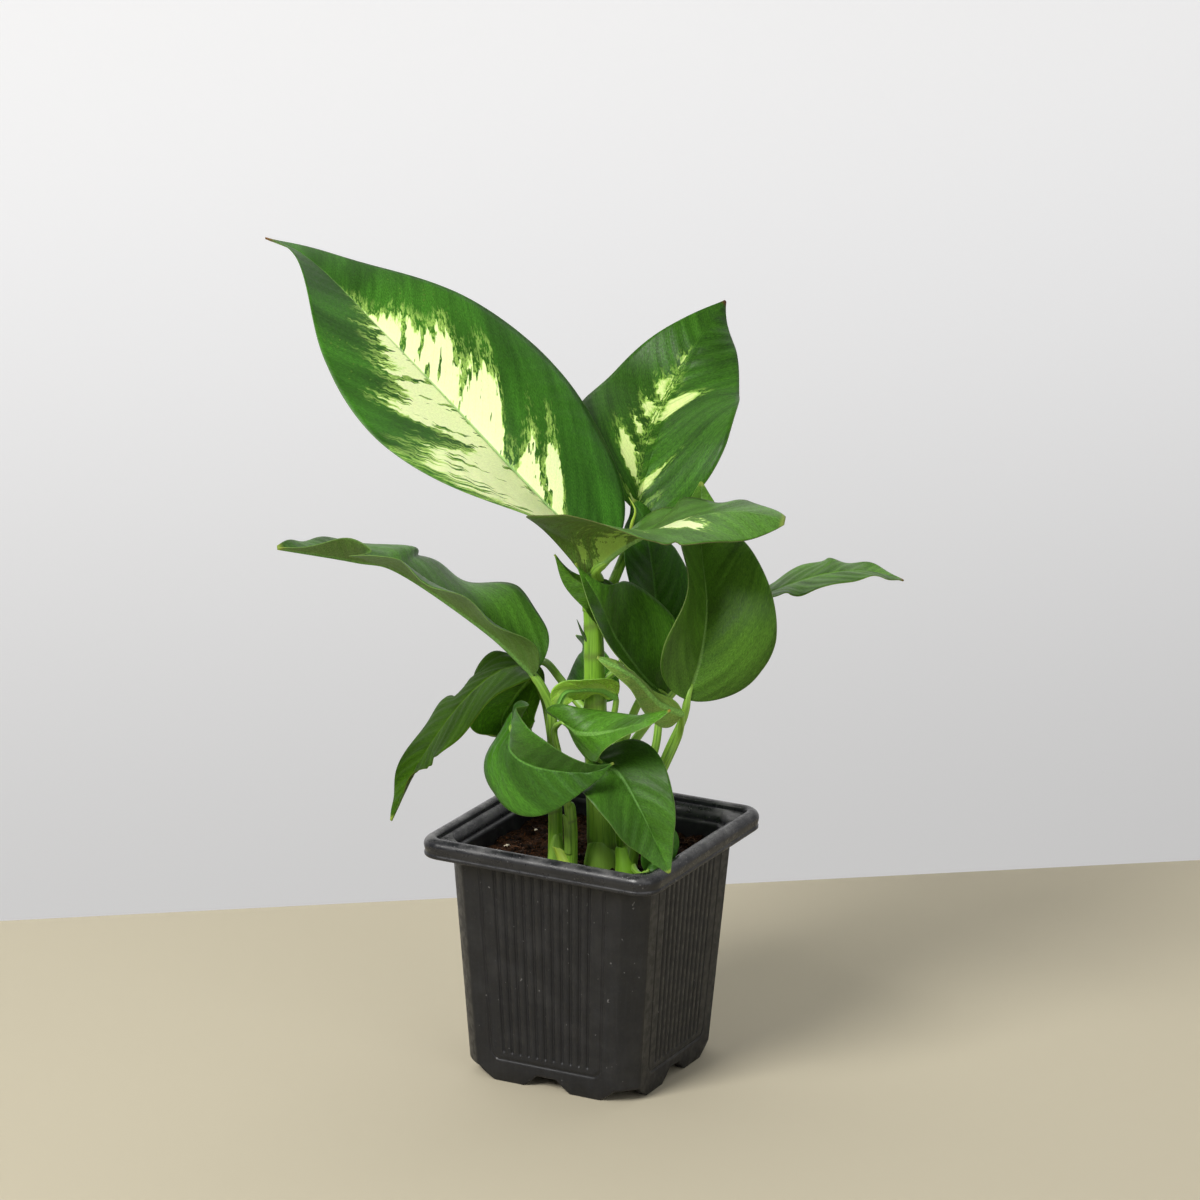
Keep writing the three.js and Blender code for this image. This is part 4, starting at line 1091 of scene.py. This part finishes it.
pot = {
    "height": 100, "rimHalf": 51.4, "rimCorner": 9.2, "rimDepth": 7.6, "lipRound": 3.2,
    "openingHalf": 46.2, "openingCorner": 6, "bodyHalf": 43.6, "chamfer": 8.5,
    "footScale": 0.864, "wall": 1.4, "floor": 5, "floorThickness": 1.6,
    "flutes": 11, "flutePitch": 4.2, "fluteWidth": 1.5, "fluteDepth": 0.65, "fluteLow": 12.5,
    "fluteShape": (-0.5, -0.42, -0.3, -0.15, 0, 0.15, 0.3, 0.42, 0.5),  # shares of its width
    "panelLine": 27.5, "lineDepth": 0.4, "panelLow": 9.7, "panelCorner": 4,
    "footTop": (5.5, 34.4), "footSole": (12, 27), "footThickness": 4,
    "drainRadius": 4, "drainPlace": 22,
    "bodyArc": 0.25,  # how round its chamfers are, from 0 to 1
    "cornerSteps": 8,
    "lowHeights": (  # heights of the body's rings, close where the grooves bend
        6, 8, 8.9, 9.1, 9.3, 9.5, 9.7, 9.9, 10.1, 10.3,
        10.6, 11, 11.5, 12, 12.4, 12.7, 13.1, 13.5, 14, 15,
    ),
    "midHeights": (20, 85, 14),  # from, to and how many
    "highHeights": (89, 89.8, 90.2, 90.6, 90.9, 91.3, 92),
    "rimRings": (  # how far each ring lies inside the rim's face, and how high above the rim's foot
        (1.9, 5.4), (1.6, 5), (1.6, 0.3), (1.2, 0), (0.6, 0.05), (0.25, 0.4),
        (0.2, 1.0), (0.25, 1.4), (0.5, 1.7), (0.5, 2.1), (0.2, 3.2),
    ),
    "lipFlat": (3.4, 3.7, 3.9), "lipFall": 0.04, "lipSteps": 8,
    "mouthRound": (1.2, 1.3), "mouthSteps": 5,
    "shelfRise": 0.5,  # of the step inside, above the rim's foot
    "colour": (0.006, 0.0064, 0.0084), "dust": (0.22, 0.217, 0.22), "grey": (0.017, 0.0178, 0.0218),
}


def fluteMiddles():
    return [(k - (pot["flutes"] - 1) / 2) * pot["flutePitch"] for k in range(pot["flutes"])]


def fluteStations():
    # where the points of each side lie: close at the grooves and feet
    shape = np.array(pot["fluteShape"]) * pot["fluteWidth"]
    middles = fluteMiddles() + [-pot["panelLine"], pot["panelLine"]]
    flat = pot["bodyHalf"] - pot["chamfer"]
    ends = np.r_[np.linspace(22.4, 26.6, 8), np.linspace(28.6, 0.99 * flat, 12)]
    grooves = np.concatenate([middle + shape for middle in middles])
    return np.unique(np.round(np.r_[grooves, -ends, ends, -flat, flat], 3))


def fluteCut(x, z):
    # depth of the grooves at x across a side and height z
    top = pot["height"] - pot["rimDepth"] - 1.5
    total = np.zeros(np.broadcast(x, z).shape)
    reach = 0.5 * pot["fluteWidth"]
    for middle in fluteMiddles():
        end = np.maximum(0, np.maximum(pot["fluteLow"] + reach - z, z - (top - reach)))
        gone = np.sqrt((x - middle) ** 2 + end**2) / reach
        total = np.maximum(total, pot["fluteDepth"] * np.sqrt(np.clip(1 - gone**2, 0, 1)))
    corner = pot["panelCorner"]
    sideways = np.abs(x) - (pot["panelLine"] - corner)
    below = pot["panelLow"] + corner - z
    bend = np.abs(np.hypot(np.maximum(sideways, 0), np.maximum(below, 0)) - corner)
    line = np.where(z > top, 9, bend) / (0.45 * pot["fluteWidth"])
    return np.maximum(total, pot["lineDepth"] * np.sqrt(np.clip(1 - line**2, 0, 1)))


def squareLoop(stations, half, leg, z, arc, cut=0.0, drop=None):
    # one ring of points round the pot: four sides with the stations, and corners round or chamfered
    flat = half - leg
    side = stations * flat / stations[-1]
    a = np.linspace(0, math.pi / 2, pot["cornerSteps"] + 2)[1:-1]
    share = (a / (math.pi / 2))[:, None]
    rounded = np.stack([flat + leg * np.sin(a), -flat - leg * np.cos(a)], -1)
    chamfered = np.array([flat, -half]) * (1 - share) + np.array([half, -flat]) * share
    height = np.full_like(side, z) if drop is None else z - drop(side)
    front = np.stack([side, -half + fluteCut(side, height) * cut], -1)
    corner = rounded * arc + chamfered * (1 - arc)
    loop = []
    for quarter in range(4):
        cosine, sine = math.cos(quarter * math.pi / 2), math.sin(quarter * math.pi / 2)
        turn = np.array([[cosine, -sine], [sine, cosine]])
        loop.append(np.column_stack([front @ turn.T, height]))
        loop.append(np.column_stack([corner @ turn.T, np.full(len(corner), z)]))
    return np.concatenate(loop)


def narrowing(z):
    rimFoot = pot["height"] - pot["rimDepth"]
    return 1 - (1 - pot["footScale"]) * np.maximum(0, (rimFoot - z) / (rimFoot - pot["floor"]))


def footDrop(side):
    low, high = pot["footTop"]
    near, far = pot["footSole"]
    x = np.abs(side)
    rise = np.clip((x - low) / (near - low), 0, 1)
    fall = np.clip((high - x) / (high - far), 0, 1)
    return pot["floor"] * np.minimum(rise, fall) ** 0.75


def makePot(material):
    stations = fluteStations()
    half, leg, foot, floor = pot["bodyHalf"], pot["chamfer"], pot["footThickness"], pot["floor"]
    height, arc, opening = pot["height"], pot["bodyArc"], pot["openingHalf"]
    inside = floor + pot["floorThickness"]
    rimFoot = height - pot["rimDepth"]
    inner = half - pot["wall"]
    loops = []

    def add(*sizes):
        loops.append(squareLoop(stations, *sizes))

    def body(half, z, cut=0.0, drop=None):
        loop = squareLoop(stations, half, leg, z, arc, cut, drop)
        loop[:, :2] *= narrowing(loop[:, 2])[:, None]
        loops.append(loop)

    def ring(inset, z):
        add(pot["rimHalf"] - inset, max(pot["rimCorner"] - inset, 1.5), z, 1.0)

    for share in (0.02, 0.5, 0.8):
        add((half - foot) * share * narrowing(floor), leg * share, floor, arc)
    body(half - foot, floor)
    for inset, rise in ((foot, 0), (0.5, 0.001), (0, 0.4)):
        body(half - inset, floor + rise, drop=footDrop)
    for z in (*pot["lowHeights"], *np.linspace(*pot["midHeights"]), *pot["highHeights"]):
        body(half, z, cut=1.0)
    body(half, 97.6)
    for inset, rise in pot["rimRings"]:
        ring(inset, rimFoot + rise)
    roundness = pot["lipRound"]
    for angle in np.linspace(0, math.pi / 2, pot["lipSteps"] + 1):
        ring(roundness * (1 - math.cos(angle)) + 0.02, height - roundness * (1 - math.sin(angle)))
    for inset in pot["lipFlat"]:
        ring(inset, height - pot["lipFall"] * (inset - roundness))
    wide, deep = pot["mouthRound"]
    for angle in np.linspace(0, math.pi / 2, pot["mouthSteps"] + 1)[1:]:
        edge = pot["rimHalf"] - opening - wide
        ring(edge + wide * math.sin(angle), height - 0.1 - deep * (1 - math.cos(angle)))
    shelf = rimFoot + pot["shelfRise"]
    for z in (96, shelf + 0.8, shelf + 0.25):
        add(opening, pot["openingCorner"], z, 1.0)
    add(opening - 0.6, pot["openingCorner"], shelf, 0.9)
    add(inner + 0.8, leg, shelf - 0.05, 0.4)
    add(inner + 0.1, leg, shelf - 0.5, 0.3)
    for z in (91, 80, 50, 20, 8, inside):
        body(inner, z)
    for share in (0.6, 0.02):
        add(inner * share * narrowing(floor), leg * share, inside, arc)
    faces = tubeFaces(len(loops), len(loops[0]))
    drillDrains(makePiece("fine_pot", np.concatenate(loops), faces, [material], node="pot", slot="pot"))
    print("pot made:", len(faces), "faces")


def drillDrains(piece):
    for quarter in range(4):
        turn = math.radians(45 + 90 * quarter)
        outward = Vector((math.cos(turn), math.sin(turn), 0))
        place = Vector(potMiddle) + outward * pot["drainPlace"] * millimetre
        place.z = (pot["floor"] + pot["floorThickness"] / 2) * millimetre
        depth = 4 * pot["floorThickness"] * millimetre
        bpy.ops.mesh.primitive_cylinder_add(
            vertices=48, radius=pot["drainRadius"] * millimetre, depth=depth, location=place)
        drill = bpy.context.object
        cut = piece.modifiers.new("drain", "BOOLEAN")
        cut.operation, cut.object, cut.solver = "DIFFERENCE", drill, "EXACT"
        bpy.context.view_layer.update()
        drilled = bpy.data.meshes.new_from_object(piece.evaluated_get(bpy.context.evaluated_depsgraph_get()))
        piece.modifiers.clear()
        piece.data = drilled
        bpy.data.objects.remove(drill)


def makePotMaterial():
    material, tree, shader = newMaterial("potPlastic", Specular_IOR_Level=0.42)
    colour, grey, dusty = ((*pot[key], 1) for key in ("colour", "grey", "dust"))
    place = placeAt(tree)
    height = addNode(tree, "ShaderNodeSeparateXYZ", (place,)).outputs[2]
    normal = addNode(tree, "ShaderNodeNewGeometry").outputs["Normal"]
    facingUp = ease(tree, addNode(tree, "ShaderNodeSeparateXYZ", (normal,)).outputs[2], 0.15, 0.9)
    nearRim = ease(tree, height, 0.09, 0.094)  # heights in metres
    # dust on faces turned up, heaviest near the rim, where it also paints the light falling on the rim's top
    upDustAndPaintedLight = times(tree, facingUp, sums(tree, "MULTIPLY_ADD", nearRim, 0.7, 0.1))
    dust = placeGroup(tree, dustGroup, Place=place, Amount=sums(tree, "ADD", upDustAndPaintedLight, 0.05))
    scuff = grainAt(tree, place, (60, 60, 900), detail=3, shift=2)
    drawn = grainAt(tree, place, (900, 900, 14), detail=2, shift=6)
    base = mixColour(tree, ease(tree, drawn, 0.35, 0.75, 0, 0.25), colour, grey)
    scuffed = times(tree, nearRim, ease(tree, scuff, 0.4, 0.7, 0.25, 0.8))
    base = mixColour(tree, scuffed, base, grey)
    base = mixColour(tree, dust["Dust"], base, dusty)
    fleck = grainAt(tree, place, (700, 700, 500), detail=1, shift=9)
    base = mixColour(tree, ease(tree, fleck, 0.75, 0.78, 0, 0.45), base, dusty)
    feed(tree, shader.inputs["Base Color"], base)
    rough = ease(tree, grainAt(tree, place, 300, detail=2), 0.3, 0.7, 0.38, 0.58)
    feed(tree, shader.inputs["Roughness"], sums(tree, "MULTIPLY_ADD", nearRim, -0.15, rough))
    fine = grainAt(tree, place, 2600, detail=2)
    addBump(tree, shader, sums(tree, "MULTIPLY_ADD", drawn, 0.5, fine), 0.05, 0.5)
    return material


# Peat

peat = {
    "level": 87, "relief": 0.8, "mound": 1.6, "moundSpread": 26, "divisions": 150,
    "edgeGap": 0.35,  # to the pot's wall
    "floorGap": 0.3,
    "crumbs": 900, "fibres": 190, "perlite": 22,
    "dark": (0.005, 0.0025, 0.0012), "brown": (0.028, 0.0115, 0.0045), "fibre": (0.13, 0.05, 0.016),
    "white": (0.6, 0.55, 0.42), "whiteLow": (0.4, 0.33, 0.24),
    "seenPerlite": ((-34.2, -7.5, 1.4), (15.7, -22, 1.5), (19.5, -24.5, 1.1)),  # x, y, size
}


def peatHeight(x, y):
    broad = math.sin(0.31 * x + 1.2) * math.cos(0.27 * y - 0.6)
    lumps = broad + 0.6 * math.sin(0.73 * x - 0.58 * y)
    mound = peat["mound"] * math.exp(-(x * x + y * y) / peat["moundSpread"] ** 2)
    return peat["level"] + peat["relief"] * lumps + mound - 1.0


def crumbled(x, y):
    rough = noise.fractal(Vector((x * 0.22, y * 0.22, 1.7)), 0.9, 2.1, 4)
    fine = noise.noise(Vector((x * 0.9, y * 0.9, 4.2)))
    return peatHeight(x, y) + 0.7 * rough + 0.35 * fine


def peatEdge():
    scale = narrowing(peat["level"])
    return (pot["bodyHalf"] - pot["wall"]) * scale - peat["edgeGap"], pot["chamfer"] * scale


def insidePeat(x, y, margin):
    half, leg = peatEdge()
    half -= margin
    return abs(x) < half and abs(y) < half and abs(x) + abs(y) < 2 * half - leg


def twoTone(name, scale, detail, ramp, colours, **shine):
    material, tree, shader = newMaterial(name, **shine)
    place = placeAt(tree)
    shade = ease(tree, grainAt(tree, place, scale, detail=detail), *ramp)
    first, second = ((*peat[key], 1) for key in colours)
    feed(tree, shader.inputs["Base Color"], mixColour(tree, shade, first, second))
    return material, tree, shader, place


def makePeatMaterial():
    material, tree, shader = newMaterial("peat", Specular_IOR_Level=0.08)
    dark, brown, fibre = ((*peat[key], 1) for key in ("dark", "brown", "fibre"))
    place = placeAt(tree)
    cloud = grainAt(tree, place, 260, detail=4, roughness=0.65)
    grit = grainAt(tree, place, 1400, detail=3, shift=5)
    base = mixColour(tree, ease(tree, cloud, 0.4, 0.68), dark, brown)
    base = mixColour(tree, ease(tree, grit, 0.55, 0.7, 0, 0.6), base, fibre)
    feed(tree, shader.inputs["Base Color"], base)
    feed(tree, shader.inputs["Roughness"], ease(tree, grit, 0.3, 0.7, 0.8, 1))
    addBump(tree, shader, sums(tree, "MULTIPLY_ADD", cloud, 0.7, grit), 0.6, 0.9)
    return material


def makePeat():
    material = makePeatMaterial()
    half, leg = peatEdge()
    count = peat["divisions"]
    line = np.linspace(-half, half, count)
    points = []
    for y in line:
        for x in line:
            ring = max(abs(x), abs(y)) / half
            # the corners are drawn in to the chamfers
            pull = min(1.0, (2 * half - leg) * ring / (abs(x) + abs(y)))
            points.append((x * pull, y * pull, crumbled(x * pull, y * pull)))
    low = pot["floor"] + pot["floorThickness"] + peat["floorGap"]
    shrink = narrowing(low) / narrowing(peat["level"])
    points += [(x * shrink, y * shrink, low) for x, y, _ in points]
    makePiece("fine_soil", points, sheetFaces(count, count), [material], node="soil", slot="soil")
    draw = random.Random(11)
    makeCrumbs(draw, material)
    makeFibres(draw)
    makePerlite(draw)
    print("peat made")


def lump(draw, x, y, z, radius, squash=0.8):
    # a rough grain: a small sphere of rings with uneven radii
    rings, sides = 5, 8
    points = [(x, y, z - radius * squash)]
    for ring in range(1, rings):
        tilt = math.pi * ring / rings
        for k in range(sides):
            turn = 2 * math.pi * k / sides
            size = radius * draw.uniform(0.72, 1.1)
            points.append((
                x + size * math.sin(tilt) * math.cos(turn),
                y + size * math.sin(tilt) * math.sin(turn),
                z - size * squash * math.cos(tilt),
            ))
    points.append((x, y, z + radius * squash))
    top = len(points) - 1
    last = top - sides
    faces = [(0, 1 + (k + 1) % sides, 1 + k) for k in range(sides)]
    faces += gridFaces(rings - 1, sides, 1, closed=True)
    faces += [(last + k, last + (k + 1) % sides, top) for k in range(sides)]
    return points, faces


def gather(parts):
    points, faces = [], []
    for more, moreFaces in parts:
        start = len(points)
        points += [tuple(p) for p in more]
        faces += [tuple(k + start for k in face) for face in moreFaces]
    return points, faces


def spot(draw, margin):
    while True:
        x, y = draw.uniform(-40, 40), draw.uniform(-40, 40)
        if insidePeat(x, y, margin):
            return x, y


def makeCrumbs(draw, material):
    grains = []
    for _ in range(peat["crumbs"]):
        x, y = spot(draw, 1.5)
        radius = draw.uniform(0.35, 1.0) * (1 if draw.random() < 0.85 else 1.6)
        grains.append(lump(draw, x, y, crumbled(x, y) + 0.25 * radius, radius, draw.uniform(0.55, 0.9)))
    makePiece("peat_crumbs", *gather(grains), [material], slot="soil")


def makeFibres(draw):
    material = twoTone("peatFibre", 150, 2, (0.35, 0.7), ("brown", "fibre"), Roughness=0.85)[0]
    strands = []
    for _ in range(peat["fibres"]):
        x, y = spot(draw, 5)
        turn, bend, length = draw.uniform(0, 6.28), draw.uniform(-0.5, 0.5), draw.uniform(3, 9)
        path = []
        for k in range(5):
            reach, aim = length * (k / 4 - 0.5), turn + bend * k
            along, aside = x + reach * math.cos(aim), y + reach * math.sin(aim)
            path.append([along, aside, crumbled(along, aside) + 0.15 + draw.uniform(0, 0.5)])
        thin = draw.uniform(0.09, 0.22)
        strands.append(bentTube(path, 5, 8, lambda t, angle: thin * (1.05 - 0.6 * np.abs(2 * t - 1)))[:2])
    makePiece("peat_fibres", *gather(strands), [material], slot="soil")


def makePerlite(draw):
    material, tree, shader, place = twoTone(
        "perlite", 500, 3, (0.3, 0.6), ("whiteLow", "white"), Roughness=0.9)
    addBump(tree, shader, grainAt(tree, place, 1500, detail=2), 0.3, 0.8)
    beads = [lump(draw, x, y, crumbled(x, y) + 0.4 * size, size) for x, y, size in peat["seenPerlite"]]
    for _ in range(peat["perlite"]):
        x, y = spot(draw, 3)
        size = draw.uniform(0.35, 0.9)
        beads.append(lump(draw, x, y, crumbled(x, y) + 0.3 * size, size))
    makePiece("peat_perlite", *gather(beads), [material], slot="soil")


makeCamera()
makeStudio()
print("camera and studio set")
veinGroup = makeVeinGroup()
creamGroup = makeCreamGroup()
dustGroup = makeDustGroup()
makePot(makePotMaterial())
makePeat()
stemFinishes = {name: makeStemMaterial(name) for name in stemTones}
makeStems(stemFinishes)
makeSheaths(stemFinishes)
makeLeaves(stemFinishes["stalk"])
